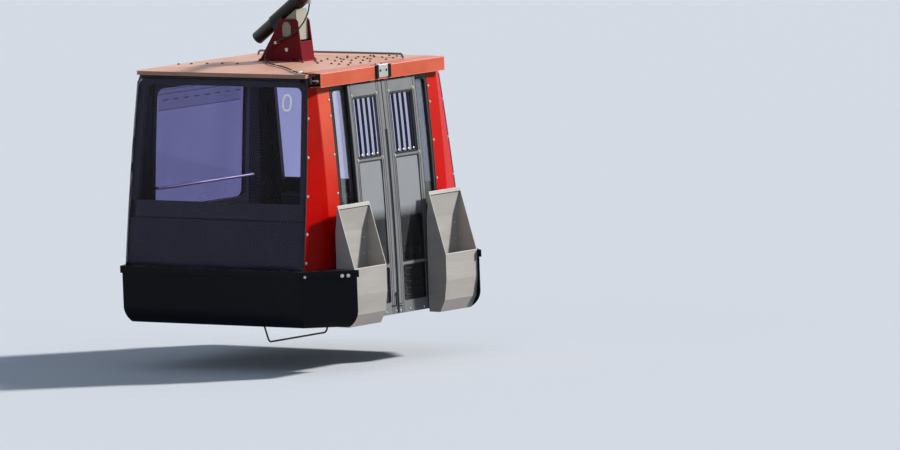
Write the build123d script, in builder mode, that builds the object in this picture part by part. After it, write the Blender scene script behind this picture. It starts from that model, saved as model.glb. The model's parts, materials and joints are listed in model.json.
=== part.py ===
from build123d import *
from math import atan2, cos, radians, sin, sqrt, tan
import os

# Eight-seat cable car cabin with its hanger and rope grip, in millimetres.
# The origin is on the rope's axis at the middle of the clamp. X is across the rope, with the doors on +X.
# Y is along the rope, with the near end on -Y. Z is up. Heights on the cabin are measured from its belt line.

# Driving dimensions of the whole
ROPE_TO_BELT = 3650
WALL_TOP = 1548
CROWN = 55  # rise of the roof above the walls
END_REACH = 1118  # half length of the cabin at the belt
END_LEAN = 7.6  # degrees that the end panes lean inwards
SIDE_REACH = 1013  # half width of the side wall at its widest
SIDE_WIDEST = -431  # height at which the side wall is widest
SIDE_RADIUS = 18856  # bow of the side wall, seen from the end
CORNER_INSET = 101  # an end pane's edge lies this much inside the side wall, at the belt
CORNER_RADIUS = 26300  # bow of that edge, seen from the end

CORNER_REACH = SIDE_REACH - CORNER_INSET
CROWN_HEIGHT = WALL_TOP + CROWN

# Walls
WALL = 34
CORNER_WALL = 28
RIDGE_Y = 801  # fold of a corner panel
PANEL_Y = 648  # end of a corner panel, on the side wall
RIDGE_STEP = 8  # the fold lies this much inside the side wall
PANEL_BACK = 38  # a corner panel starts this far behind the end pane's face
SEAM = 2
FIT = 0.3  # gap between a piece and the curved or glazed edge that it seats in
GLASS = 6

# Belt, skirt and floor
BELT_PLATE = 12
BELT_LIP = 58
BELT_PROUD = 14
SKIRT_OUT = 6
SKIRT_WALL = 20
SKIRT_STRAIGHT = 330
SKIRT_BOTTOM = 463
SKIRT_CURL = 55
SKIRT_RETURN = 110
FLOOR_WALL = 40
LIP_WALL = 12
WING = (317, 769)  # tip of the skirt's wing: beyond the side wall, and along the cabin

# Doors
LEAF_WIDTH = 450
LEAF_THICK = 26
LEAF_CLEAR = 8
LEAF_BOTTOM = -447
LEAF_TOP = WALL_TOP - 93
DOOR_HALF = 428
DOOR_HEAD = WALL_TOP - 153
STRIP_Y = (470, 622)
STRIP_Z = (70, WALL_TOP - 123)

# Header over the doors
HEADER_FROM_WALL = (-140, 61)  # back and front, from the wall's face at the header's foot
HEADER_Z = (WALL_TOP - 76, WALL_TOP + 39)
HEADER_HALF = 835
HEADER_SHEET = 4

# Ski baskets
BASKET_Y = (402, 829)
BASKET_SHEET = 3

# Hanger
ARM_RADIUS = 54
PIVOT_X = (250, 400)


def level(height):
    """Z of a height above the belt line."""
    return height - ROPE_TO_BELT


def wall_x(height):
    """Outer face of the side wall at a height."""
    rise = height - SIDE_WIDEST
    return SIDE_REACH - (SIDE_RADIUS - sqrt(SIDE_RADIUS**2 - rise**2))


def corner_x(height):
    """Half width of an end pane at a height."""
    return CORNER_REACH - (CORNER_RADIUS - sqrt(CORNER_RADIUS**2 - height**2))


def end_y(height):
    """Distance of an end pane's outer face from the middle, at a height."""
    return END_REACH - height * tan(radians(END_LEAN))


HEADER_X = tuple(wall_x(HEADER_Z[0]) + x for x in HEADER_FROM_WALL)


def finish(piece, label):
    """Labels a finished piece and writes it."""
    piece.part.label = label
    export_step(piece.part, f"parts/{label}.step")


def finish_pair(piece, near_label, far_label, about=Plane.XZ):
    """Writes a piece and its mirror image."""
    finish(piece, near_label)
    with BuildPart() as twin:
        mirror(piece.part, about=about)
    finish(twin, far_label)


def wall_strip(low, high, outer, inner, y_from, y_to, mode=Mode.ADD):
    """Strip along the cabin that follows the side wall between two heights and two offsets from its face."""
    middle = (low + high) / 2
    outside = [(wall_x(h) + outer, level(h)) for h in (low, middle, high)]
    inside = [(wall_x(h) + inner, level(h)) for h in (low, middle, high)]
    with BuildSketch(Plane.XZ.offset(-y_to)) as profile:
        with BuildLine():
            ThreePointArc(*outside)
            ThreePointArc(*inside)
            Line(outside[0], inside[0])
            Line(outside[2], inside[2])
        make_face()
    extrude(profile.sketch, amount=y_to - y_from, mode=mode)


def side_window(y_from, y_to, low, high, radius, x_from=SIDE_REACH - 400, x_to=SIDE_REACH + 200):
    """Cuts a window with round corners through a side wall."""
    with BuildSketch(Plane.YZ.offset(x_from)) as window:
        with Locations(((y_from + y_to) / 2, level((low + high) / 2))):
            RectangleRounded(y_to - y_from, high - low, radius)
    extrude(window.sketch, amount=x_to - x_from, mode=Mode.SUBTRACT)


def side_plate(y_from, y_to, low, high, radius, x_from=SIDE_REACH - 400, x_to=SIDE_REACH + 200):
    """Keeps only what lies inside an upright outline with round corners, seen from the side."""
    with BuildSketch(Plane.YZ.offset(x_from)) as window:
        with Locations(((y_from + y_to) / 2, level((low + high) / 2))):
            RectangleRounded(y_to - y_from, high - low, radius)
    extrude(window.sketch, amount=x_to - x_from, mode=Mode.INTERSECT)


def block(x_range, y_range, z_range, mode=Mode.ADD):
    """Block between two values along each axis, its heights from the belt line."""
    (x0, x1), (y0, y1), (z0, z1) = x_range, y_range, z_range
    with Locations(((x0 + x1) / 2, (y0 + y1) / 2, level((z0 + z1) / 2))):
        Box(x1 - x0, y1 - y0, z1 - z0, mode=mode)


def mirrored(points):
    """A plan outline's half on -Y with its mirror image on +Y, in one order."""
    return points + [(x, -y) for x, y in reversed(points)]


os.makedirs("parts", exist_ok=True)

# End panes: one dished sheet with a rounded rim, on a black frame, leaning inwards
END_PLANE = Plane(
    origin=(0, -END_REACH, level(0)),
    x_dir=(1, 0, 0),
    z_dir=(0, -cos(radians(END_LEAN)), sin(radians(END_LEAN))),
)
SLANT = 1 / cos(radians(END_LEAN))
PANE_DEPTH = 55
PANE_RIM = 45
PANE_CORNER = 110
PANE_BOTTOM = 8
PANE_TOP = WALL_TOP - 2
END_WALL = 40
END_WINDOW_Z = (415, WALL_TOP - 70)
END_RAIL = 66  # width of the frame beside the window


def end_sheet(inset, corner, low, high, depth, thick, plane=END_PLANE):
    """Sheet with an end pane's outline, inset from the corners, from a depth behind the outer face."""
    heights = (low, (low + high) / 2, high)
    edge = [(corner_x(max(h, 0)) - inset, h * SLANT) for h in heights]
    with BuildSketch(plane.offset(-depth - thick)) as sheet:
        with BuildLine():
            ThreePointArc(*edge)
            ThreePointArc(*[(-x, y) for x, y in edge])
            Line(edge[0], (-edge[0][0], edge[0][1]))
            Line(edge[2], (-edge[2][0], edge[2][1]))
        make_face()
        if corner:
            fillet(sheet.vertices().group_by(Axis.Y)[-1], corner)
    extrude(sheet.sketch, amount=thick)


def dished_block(inside):
    """Solid of an end pane's outline with a rounded rim, moved inwards on every side but the back.

    The rim is rounded lying flat, where it holds at any size, and the solid is then tilted into place."""
    low, high = PANE_BOTTOM + inside, PANE_TOP - inside
    with BuildPart() as dished:
        end_sheet(SEAM + inside, PANE_CORNER - inside, low, high, inside, PANE_DEPTH - inside, Plane.XY)
        fillet(faces().sort_by(Axis.Z)[-1].edges(), PANE_RIM - inside)
    return dished.part.moved(END_PLANE.location)


with BuildPart() as near_end_glass:
    add(dished_block(0))
    add(dished_block(GLASS), mode=Mode.SUBTRACT)
finish_pair(near_end_glass, "near_end_glass", "far_end_glass")

with BuildPart() as near_end_frame:
    end_sheet(SEAM, 0, -20, WALL_TOP + 20, PANE_DEPTH, END_WALL)
    with BuildSketch(END_PLANE) as opening:
        low, high = END_WINDOW_Z
        half_low, half_high = corner_x(low) - END_RAIL, corner_x(high) - END_RAIL
        with BuildLine():
            Polyline(
                (-half_low, low * SLANT),
                (half_low, low * SLANT),
                (half_high, high * SLANT),
                (-half_high, high * SLANT),
                close=True,
            )
        make_face()
        fillet(opening.vertices(), 60)
    extrude(opening.sketch, amount=-2 * (PANE_DEPTH + END_WALL), mode=Mode.SUBTRACT)
    split(bisect_by=Plane.XY.offset(level(0)), keep=Keep.TOP)
    split(bisect_by=Plane.XY.offset(level(WALL_TOP)), keep=Keep.BOTTOM)
    rebate_x = (HEADER_X[0] - SEAM, SIDE_REACH)
    block(rebate_x, (-HEADER_HALF - SEAM, 0), (HEADER_Z[0] - SEAM, WALL_TOP + 10), Mode.SUBTRACT)
finish_pair(near_end_frame, "near_end_frame", "far_end_frame")


PANEL_CHAMFER = (55, 52)  # at a corner panel's top beside the pane
# Corner panels: two folds that join an end pane to a side wall, lofted through three heights
def corner_section(height):
    """Plan outline of a corner panel at a height."""
    start = (corner_x(height) + SEAM, -end_y(height) + PANEL_BACK)
    ridge = (wall_x(height) - RIDGE_STEP, -RIDGE_Y)
    end = (wall_x(height), -PANEL_Y)
    facet = atan2(ridge[0] - start[0], ridge[1] - start[1])
    inner_ridge = (ridge[0] - CORNER_WALL, ridge[1] + CORNER_WALL * tan(facet / 2))
    inner_start_y = inner_ridge[1] - (inner_ridge[0] - start[0]) / tan(facet)
    return [start, ridge, end, (end[0] - CORNER_WALL, end[1]), inner_ridge, (start[0], inner_start_y)]


with BuildPart() as near_door_corner:
    for height in (0, WALL_TOP / 2, WALL_TOP):
        with BuildSketch(Plane.XY.offset(level(height))):
            with BuildLine():
                Polyline(*corner_section(height), close=True)
            make_face()
    loft()
    start_y = -end_y(WALL_TOP) + PANEL_BACK
    with BuildSketch(Plane.YZ) as top_corner:
        with BuildLine():
            Polyline(
                (start_y - 20, level(WALL_TOP + 5)),
                (start_y - 20, level(WALL_TOP - PANEL_CHAMFER[1])),
                (start_y, level(WALL_TOP - PANEL_CHAMFER[1])),
                (start_y + PANEL_CHAMFER[0], level(WALL_TOP)),
                (start_y + PANEL_CHAMFER[0], level(WALL_TOP + 5)),
                close=True,
            )
        make_face()
    extrude(top_corner.sketch, amount=SIDE_REACH, mode=Mode.SUBTRACT)
with BuildPart() as near_back_corner:
    mirror(near_door_corner.part, about=Plane.YZ)
with BuildPart() as near_door_corner_cut:
    add(near_door_corner.part)
    block((HEADER_X[0] - 2, SIDE_REACH + 100), (-END_REACH, 0), (HEADER_Z[0] - 2, WALL_TOP + 10), Mode.SUBTRACT)
finish_pair(near_door_corner_cut, "near_door_corner_panel", "far_door_corner_panel")
finish_pair(near_back_corner, "near_back_corner_panel", "far_back_corner_panel")

# Back wall with its window
BACK_WINDOW = (600, 404, WALL_TOP - 147, 70)  # half width, low, high, corner radius
with BuildPart() as back_wall:
    wall_strip(0, WALL_TOP, 0, -WALL, -PANEL_Y + SEAM, PANEL_Y - SEAM)
    half, low, high, radius = BACK_WINDOW
    side_window(-half, half, low, high, radius)
    mirror(about=Plane.YZ, mode=Mode.REPLACE)
finish(back_wall, "back_wall")
BACK_DEEP = 4  # the back glass lies this far behind the wall's face
with BuildPart() as back_window:
    wall_strip(low, high, -BACK_DEEP, -BACK_DEEP - GLASS, -half, half)
    side_plate(-half + FIT, half - FIT, low + FIT, high - FIT, radius - FIT)
    mirror(about=Plane.YZ, mode=Mode.REPLACE)
finish(back_window, "back_window")

# Door wall: the doorway with a fixed window strip on each side, carried down to the floor below the belt
FLOOR_TOP = -SKIRT_BOTTOM + LIP_WALL + FLOOR_WALL
DOOR_WALL_TOP = HEADER_Z[0]
LOW_WALL_HALF = BASKET_Y[1] - BASKET_SHEET
STRIP_DEEP = 22  # the fixed glass lies this far behind the wall's face
with BuildPart() as door_wall:
    wall_strip(-BELT_PLATE, DOOR_WALL_TOP, 0, -WALL, -PANEL_Y + SEAM, PANEL_Y - SEAM)
    wall_strip(FLOOR_TOP, -BELT_PLATE, 0, -WALL, -LOW_WALL_HALF, LOW_WALL_HALF)
    side_window(-DOOR_HALF, DOOR_HALF, FLOOR_TOP + 12, DOOR_HEAD, 40)
    for sign in (-1, 1):
        inner, outer = sorted((sign * STRIP_Y[0], sign * STRIP_Y[1]))
        side_window(inner, outer, *STRIP_Z, 30)
finish(door_wall, "door_wall")
with BuildPart() as near_side_glass:
    wall_strip(*STRIP_Z, -STRIP_DEEP, -STRIP_DEEP - GLASS, -STRIP_Y[1], -STRIP_Y[0])
    side_plate(-STRIP_Y[1] + FIT, -STRIP_Y[0] - FIT, STRIP_Z[0] + FIT, STRIP_Z[1] - FIT, 30 - FIT)
finish_pair(near_side_glass, "near_side_glass", "far_side_glass")

# Body outline at the belt, its -Y half from the door side to the back, with the wings carried past their tips
FOOT_Y = END_REACH + SEAM
BODY_HALF = [
    (SIDE_REACH + WING[0], -WING[1]),
    (CORNER_REACH, -FOOT_Y),
    (-CORNER_REACH, -FOOT_Y),
    (-SIDE_REACH + RIDGE_STEP - 1, -RIDGE_Y),
    (-SIDE_REACH, -PANEL_Y),
]
NOTCH_Y = BASKET_Y[1]


def body_prism(out, low, high, mode=Mode.ADD):
    """Upright block with the body outline, moved outwards."""
    with BuildSketch(Plane.XY.offset(level(low))) as plan:
        with BuildLine():
            Polyline(*mirrored(BODY_HALF), close=True)
        make_face()
        offset(amount=out, kind=Kind.INTERSECTION)
    extrude(plan.sketch, amount=high - low, mode=mode)


with BuildPart() as belt_ledge:
    body_prism(SKIRT_OUT + BELT_PROUD, -BELT_LIP, 0)
    body_prism(SKIRT_OUT - SKIRT_WALL, -BELT_LIP, -BELT_PLATE, Mode.SUBTRACT)
    body_prism(-90, -BELT_PLATE, 0, Mode.SUBTRACT)
    block((SIDE_REACH, SIDE_REACH + 500), (-NOTCH_Y, NOTCH_Y), (-BELT_LIP, 0), Mode.SUBTRACT)
    block((0, SIDE_REACH + 500), (-PANEL_Y, PANEL_Y), (-BELT_LIP, 0), Mode.SUBTRACT)
finish(belt_ledge, "belt_ledge")

# Skirt: a curled section swept round the body, parted at the seams of the back wall
with BuildPart() as skirt:
    with BuildLine() as skirt_path:
        Polyline(*[(x, y, level(0)) for x, y in mirrored(BODY_HALF)])
    start_plane = Plane(
        origin=skirt_path.line @ 0,
        x_dir=(skirt_path.line % 0).cross(Vector(0, 0, -1)),
        z_dir=skirt_path.line % 0,
    )
    curl_radius = ((SKIRT_BOTTOM - SKIRT_STRAIGHT) ** 2 + SKIRT_CURL**2) / (2 * SKIRT_CURL)
    with BuildSketch(start_plane) as skirt_section:
        with BuildLine():
            outer = Line((SKIRT_OUT, -BELT_LIP), (SKIRT_OUT, -SKIRT_STRAIGHT))
            curl = RadiusArc(outer @ 1, (SKIRT_OUT - SKIRT_CURL, -SKIRT_BOTTOM), curl_radius)
            foot = Line(curl @ 1, (SKIRT_OUT - SKIRT_RETURN, -SKIRT_BOTTOM))
            heel = Line(foot @ 1, (SKIRT_OUT - SKIRT_RETURN, -SKIRT_BOTTOM + LIP_WALL))
            step = Line(heel @ 1, (SKIRT_OUT - SKIRT_CURL - 12, -SKIRT_BOTTOM + LIP_WALL))
            inner_curl = RadiusArc(step @ 1, (SKIRT_OUT - SKIRT_WALL, -SKIRT_STRAIGHT), -curl_radius)
            inner = Line(inner_curl @ 1, (SKIRT_OUT - SKIRT_WALL, -BELT_LIP))
            Line(inner @ 1, outer @ 0)
        make_face()
    sweep(sections=skirt_section.sketch, path=skirt_path.line, transition=Transition.RIGHT)
    block((SIDE_REACH - 250, SIDE_REACH + 500), (-NOTCH_Y, NOTCH_Y), (-SKIRT_BOTTOM, 0), Mode.SUBTRACT)
for label, low_y, high_y in (
    ("near_skirt", -FOOT_Y - 50, -PANEL_Y),
    ("back_skirt", -PANEL_Y, PANEL_Y),
    ("far_skirt", PANEL_Y, FOOT_Y + 50),
):
    with BuildPart() as skirt_piece:
        add(skirt.part)
        block((-SIDE_REACH - 50, SIDE_REACH + 500), (low_y, high_y), (-SKIRT_BOTTOM - 10, 0), Mode.INTERSECT)
    finish(skirt_piece, label)

# Floor pan, resting on the skirt's return
FLOOR_LOW = -SKIRT_BOTTOM + LIP_WALL
with BuildPart() as floor_pan:
    body_prism(-80, FLOOR_LOW, FLOOR_TOP)
    block((SIDE_REACH, SIDE_REACH + 500), (-NOTCH_Y - 8, NOTCH_Y + 8), (FLOOR_LOW, FLOOR_TOP), Mode.SUBTRACT)
    fillet(edges().filter_by(Axis.Z), 6)
finish(floor_pan, "floor_pan")

# Bumper loop under the floor
LOOP = (7.5, 384, 483, -675, 45)  # bar radius, half width below, half width above, height, bend radius
with BuildPart() as under_floor_loop:
    bar, low_half, high_half, loop_z, bend = LOOP
    with BuildLine() as loop_path:
        FilletPolyline(
            (0, -high_half, level(FLOOR_LOW + 10)),
            (0, -low_half, level(loop_z)),
            (0, low_half, level(loop_z)),
            (0, high_half, level(FLOOR_LOW + 10)),
            radius=bend,
        )
    with BuildSketch(Plane(origin=loop_path.line @ 0, z_dir=loop_path.line % 0)) as loop_bar:
        Circle(bar)
    sweep(sections=loop_bar.sketch, path=loop_path.line)
    for sign in (-1, 1):
        block((-30, 30), (sign * high_half - 30, sign * high_half + 30), (FLOOR_LOW - 6, FLOOR_LOW))
    split(bisect_by=Plane.XY.offset(level(FLOOR_LOW)), keep=Keep.BOTTOM)
finish(under_floor_loop, "under_floor_loop")

# Roof: crowned both ways, with a flat pad for the bracket and a step for the door header
ROOF_EDGE = WALL_TOP + 32
ROOF_CORNER = 70
ROOF_OUT = 4
PAD = (240, 130, CROWN_HEIGHT + 1)  # half length, half width, height
roof_half = [
    (x, y)
    for x, y in (
        (wall_x(WALL_TOP), -PANEL_Y),
        (wall_x(WALL_TOP) - RIDGE_STEP, -RIDGE_Y),
        (corner_x(WALL_TOP), -end_y(WALL_TOP)),
        (-corner_x(WALL_TOP), -end_y(WALL_TOP)),
        (-wall_x(WALL_TOP) + RIDGE_STEP, -RIDGE_Y),
        (-wall_x(WALL_TOP), -PANEL_Y),
    )
]
with BuildPart() as roof_panel:
    with BuildSketch(Plane.XY.offset(level(WALL_TOP))) as roof_plan:
        with BuildLine():
            Polyline(*mirrored(roof_half), close=True)
        make_face()
        offset(amount=ROOF_OUT, kind=Kind.INTERSECTION)
        end_corners = [v for v in roof_plan.vertices() if abs(v.Y) > end_y(WALL_TOP)]
        fillet(end_corners, ROOF_CORNER)
    extrude(roof_plan.sketch, amount=CROWN_HEIGHT - WALL_TOP + 5)
    for plane, reach in ((Plane.XZ, wall_x(WALL_TOP) + 10), (Plane.YZ, end_y(WALL_TOP) + 10)):
        with BuildSketch(plane) as crown:
            with BuildLine():
                ThreePointArc((-reach, level(ROOF_EDGE)), (0, level(CROWN_HEIGHT)), (reach, level(ROOF_EDGE)))
                Polyline(
                    (reach, level(ROOF_EDGE)),
                    (reach, level(WALL_TOP)),
                    (-reach, level(WALL_TOP)),
                    (-reach, level(ROOF_EDGE)),
                )
            make_face()
        extrude(crown.sketch, amount=END_REACH + 400, both=True, mode=Mode.INTERSECT)
    block((-PAD[0], PAD[0]), (-PAD[1], PAD[1]), (CROWN_HEIGHT - 8, PAD[2]))
    above = (WALL_TOP - 5, CROWN_HEIGHT + 5)
    block((HEADER_X[0] - 2, SIDE_REACH + 100), (-HEADER_HALF - 2, HEADER_HALF + 2), above, Mode.SUBTRACT)
    block((corner_x(WALL_TOP) + SEAM, SIDE_REACH + 100), (-END_REACH, END_REACH), above, Mode.SUBTRACT)
finish(roof_panel, "roof_panel")


def roof_height(x, y):
    """Height of the crowned roof over a point."""
    reach_x, reach_y = wall_x(WALL_TOP) + 10, end_y(WALL_TOP) + 10
    drop = CROWN_HEIGHT - ROOF_EDGE
    return CROWN_HEIGHT - drop * max(x / reach_x, y / reach_y, -x / reach_x, -y / reach_y) ** 2


def bent_bar(points, radius, bend):
    """Round bar along a filleted route."""
    with BuildLine() as route:
        FilletPolyline(*points, radius=bend)
    with BuildSketch(Plane(origin=route.line @ 0, z_dir=route.line % 0)) as section:
        Circle(radius)
    sweep(sections=section.sketch, path=route.line)


ROOF_RAIL = (9, 580, HEADER_X[0] - 29, CROWN_HEIGHT + 19, 28)  # radius, place, half length, height, bend
with BuildPart() as roof_rail:
    bar, rail_y, half, rail_z, bend = ROOF_RAIL
    foot = roof_height(half, rail_y) + FIT + 1
    rail_points = [(-half, foot), (-half, rail_z), (half, rail_z), (half, foot)]
    bent_bar([(x, rail_y, level(z)) for x, z in rail_points], bar, bend)
finish(roof_rail, "roof_rail")

HANDRAIL = (12, 630, 589, 143, 40)  # radius, half length, height, distance inside the side wall, bend
with BuildPart() as handrail:
    bar, half, rail_z, rail_inset, bend = HANDRAIL
    end_x = -(wall_x(rail_z) - WALL - 1)
    rail_x = -(SIDE_REACH - rail_inset)
    rail_points = [(end_x, -half), (rail_x, -half), (rail_x, half), (end_x, half)]
    bent_bar([(x, y, level(rail_z)) for x, y in rail_points], bar, bend)
finish(handrail, "handrail")

# Benches across both ends: a pressed sheet base and a moulded seat whose back leans with the end pane
BENCH_HALF = SIDE_REACH - 213
BENCH_SHEET = 20
BENCH_Y = (-(END_REACH - PANE_DEPTH - END_WALL - 23), -600)  # back and front edge of the seat
BENCH_DEPTH = BENCH_Y[1] - BENCH_Y[0]
SEAT_Z = (-60, -12)
BENCH_PROFILE = (  # from the seat's back edge, and heights
    (BENCH_DEPTH, SEAT_Z[0]),
    (BENCH_DEPTH, SEAT_Z[1]),
    (90, 8),
    (120, 392),
    (85, 402),
    (40, 395),
    (0, 60),
    (0, SEAT_Z[0]),
)
SEAT_COUNT = 4  # places on a bench
JOINT = (16, 6)  # width and depth of the groove between two places
with BuildPart() as near_bench_base:
    back_y, front_y = BENCH_Y[0] + 5, BENCH_Y[1] - 40
    block((-BENCH_HALF, BENCH_HALF), (back_y, front_y), (FLOOR_TOP, SEAT_Z[0]))
    hollow_half = BENCH_HALF - BENCH_SHEET
    hollow_z = (FLOOR_TOP, SEAT_Z[0] - BENCH_SHEET)
    block((-hollow_half, hollow_half), (back_y, front_y - BENCH_SHEET), hollow_z, Mode.SUBTRACT)
finish_pair(near_bench_base, "near_bench_base", "far_bench_base")
with BuildPart() as near_bench:
    with BuildSketch(Plane.YZ.offset(-BENCH_HALF)) as bench_profile:
        with BuildLine():
            Polyline(*[(BENCH_Y[0] + y, level(z)) for y, z in BENCH_PROFILE], close=True)
        make_face()
        fillet(bench_profile.vertices().sort_by(Axis.X)[-2:], 18)
    extrude(bench_profile.sketch, amount=2 * BENCH_HALF)
    with BuildSketch(Plane.YZ.offset(-BENCH_HALF)) as seat_joint:
        add(bench_profile.sketch.faces()[0])
        offset(amount=-JOINT[1], kind=Kind.INTERSECTION, mode=Mode.SUBTRACT)
    for i in range(1, SEAT_COUNT):
        joint_x = i * 2 * BENCH_HALF / SEAT_COUNT - JOINT[0] / 2
        extrude(seat_joint.sketch.moved(Location((joint_x, 0, 0))), amount=JOINT[0], mode=Mode.SUBTRACT)
finish_pair(near_bench, "near_bench", "far_bench")

# Door header, its rail and what is fixed to it
with BuildPart() as door_header:
    (x0, x1), (z0, z1), t = HEADER_X, HEADER_Z, HEADER_SHEET
    block((x0, x1), (-HEADER_HALF, HEADER_HALF), (z0, z1))
    fillet(edges().filter_by(Axis.Y).group_by(Axis.Z)[-1].sort_by(Axis.X)[-1], 8)
    block((x0 + t, x1 - t), (-HEADER_HALF, HEADER_HALF - t), (z0 + t, z1 - t), Mode.SUBTRACT)
    slot_x = wall_x(z0) + 1
    block((slot_x, x1 - t), (-HEADER_HALF, HEADER_HALF - t), (z0, z0 + t), Mode.SUBTRACT)
finish(door_header, "door_header")
RAIL_SHEET = 6
RAIL_X = (HEADER_X[0] + 107, HEADER_X[0] + 145)
RAIL_Z = (HEADER_Z[0] + 26, HEADER_Z[0] + 26 + RAIL_SHEET)
RAIL_HALF = HEADER_HALF - 35
with BuildPart() as door_rail:
    web_z = (RAIL_Z[0], HEADER_Z[1] - HEADER_SHEET)
    block((RAIL_X[0], RAIL_X[0] + RAIL_SHEET), (-RAIL_HALF, RAIL_HALF), web_z)
    block(RAIL_X, (-RAIL_HALF, RAIL_HALF), RAIL_Z)
    inner_foot = edges().filter_by(Axis.Y).group_by(Axis.Z)[0].sort_by(Axis.X)[0]
    fillet(inner_foot, RAIL_SHEET - 1)
finish(door_rail, "door_rail")
SADDLE = (62, 6, 78)  # half length, sheet, reach over the header's top
GUARD = (40, 10)  # length and thickness of the guard on each side
with BuildPart() as header_saddle:
    saddle_half, sheet, reach = SADDLE
    saddle_y = (-saddle_half, saddle_half)
    block((HEADER_X[1] - reach, HEADER_X[1] + sheet), saddle_y, (HEADER_Z[1], HEADER_Z[1] + sheet))
    block((HEADER_X[1], HEADER_X[1] + sheet), saddle_y, (HEADER_Z[0] + 16, HEADER_Z[1] + sheet))
    fillet(edges().filter_by(Axis.Y).group_by(Axis.Z)[-1].sort_by(Axis.X)[-1], sheet - 1)
finish(header_saddle, "header_saddle")
with BuildPart() as header_saddle_guards:
    for sign in (-1, 1):
        y_range = sorted((sign * SADDLE[0], sign * (SADDLE[0] + GUARD[0])))
        block((HEADER_X[1], HEADER_X[1] + GUARD[1]), y_range, (HEADER_Z[0] + 10, HEADER_Z[1] + 2))
    chamfer(edges().filter_by(Axis.Z).group_by(Axis.X)[-1], GUARD[1] / 3)
finish(header_saddle_guards, "header_saddle_guards")
LEVER = (23, 8, 53, 6, 13)  # place from the header's back, plate, height, rod radius, ball radius
with BuildPart() as release_lever:
    from_back, plate, lever_z, rod, ball = LEVER
    plate_x, plate_y = HEADER_X[0] + from_back, -HEADER_HALF + 11
    plate_z = (HEADER_Z[0] + 28, HEADER_Z[1] - HEADER_SHEET)
    block((plate_x, plate_x + 80), (plate_y - plate / 2, plate_y + plate / 2), plate_z)
    with Locations(Plane(origin=(plate_x + 70, plate_y, level(HEADER_Z[0] + lever_z)), z_dir=(1, 0, 0))):
        Cylinder(rod, 70, align=(Align.CENTER, Align.CENTER, Align.MIN))
    with Locations((plate_x + 140, plate_y, level(HEADER_Z[0] + lever_z))):
        Sphere(ball)
finish(release_lever, "release_lever")

# Door leaves: frame with its hangers, ventilation bars, pane, ribbed kick panel and edge seals
LEAF_OUT = LEAF_CLEAR + LEAF_THICK
LEAF_Y = (-LEAF_WIDTH, -6)
LIGHT_Y = (-400, -95)
VENT_Z = (WALL_TOP - 698, WALL_TOP - 198)
PANE_Z = (-30, VENT_Z[0] - 28)
KICK_Z = (-345, -62)
HANGER_Y = (-370, -90)
HANGER_PLATE = (60, 8, 16, 5)  # width, thickness, roller radius, pin radius
GROOVE = (8, 3, 16)  # width and depth of a stile's groove, and its distance from the light
with BuildPart() as near_door_frame:
    wall_strip(LEAF_BOTTOM, LEAF_TOP, LEAF_OUT, LEAF_CLEAR, *LEAF_Y)
    for low, high in (VENT_Z, PANE_Z, KICK_Z):
        side_window(*LIGHT_Y, low, high, 12)
    groove, groove_depth, beside = GROOVE
    tall = (LEAF_BOTTOM - 5, LEAF_TOP + 5)
    for groove_y in (LIGHT_Y[0] - beside - groove, LIGHT_Y[1] + beside, LIGHT_Y[1] + 2 * beside + groove):
        y_range = (groove_y, groove_y + groove)
        wall_strip(*tall, LEAF_OUT + 5, LEAF_OUT - groove_depth, *y_range, Mode.SUBTRACT)
    leaf_x = wall_x(LEAF_TOP) + LEAF_CLEAR + 3
    wide, thick, roller, pin = HANGER_PLATE
    for y in HANGER_Y:
        block((leaf_x, leaf_x + thick), (y - wide / 2, y + wide / 2), (LEAF_TOP - 6, HEADER_Z[1] - 47))
        with Locations(Plane(origin=(RAIL_X[1] - 22, y, level(RAIL_Z[1] + roller + FIT)), z_dir=(1, 0, 0))):
            Cylinder(roller, 18, align=(Align.CENTER, Align.CENTER, Align.MIN))
            Cylinder(pin, leaf_x - RAIL_X[1] + 24, align=(Align.CENTER, Align.CENTER, Align.MIN))
finish_pair(near_door_frame, "near_door_frame", "far_door_frame")
FINS = (4, 68, 46, 5)  # count, pitch, first fin's distance from the light's edge, thickness
BARREL = (9, 20)  # radius and length of the barrel that a fin turns on, at each of its ends
with BuildPart() as near_door_vent:
    count, pitch, first, thick = FINS
    for rail_low, rail_high in ((VENT_Z[0], VENT_Z[0] + 16), (VENT_Z[1] - 14, VENT_Z[1])):
        wall_strip(rail_low, rail_high, LEAF_OUT - 4, LEAF_CLEAR + 4, *LIGHT_Y)
    side_plate(LIGHT_Y[0] + FIT, LIGHT_Y[1] - FIT, VENT_Z[0] + FIT, VENT_Z[1] - FIT, 12 - FIT)
    for i in range(count):
        fin_y = LIGHT_Y[1] - first - i * pitch
        wall_strip(VENT_Z[0] + 10, VENT_Z[1] - 8, LEAF_OUT, LEAF_CLEAR + 1, fin_y - thick, fin_y)
        for barrel_z in (VENT_Z[0] + 16, VENT_Z[1] - 14 - BARREL[1]):
            middle_x = wall_x(barrel_z) + LEAF_OUT - BARREL[0] - 2
            with Locations((middle_x, fin_y - thick / 2, level(barrel_z))):
                Cylinder(BARREL[0], BARREL[1], align=(Align.CENTER, Align.CENTER, Align.MIN))
finish_pair(near_door_vent, "near_door_vent", "far_door_vent")
with BuildPart() as near_door_glass:
    wall_strip(*PANE_Z, LEAF_OUT - 8, LEAF_OUT - 14, *LIGHT_Y)
    side_plate(LIGHT_Y[0] + FIT, LIGHT_Y[1] - FIT, PANE_Z[0] + FIT, PANE_Z[1] - FIT, 12 - FIT)
finish_pair(near_door_glass, "near_door_glass", "far_door_glass")
RIBS = (5, 54, 32, 7, 250)  # count, pitch, top rib's distance under the panel's top, radius, length
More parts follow.
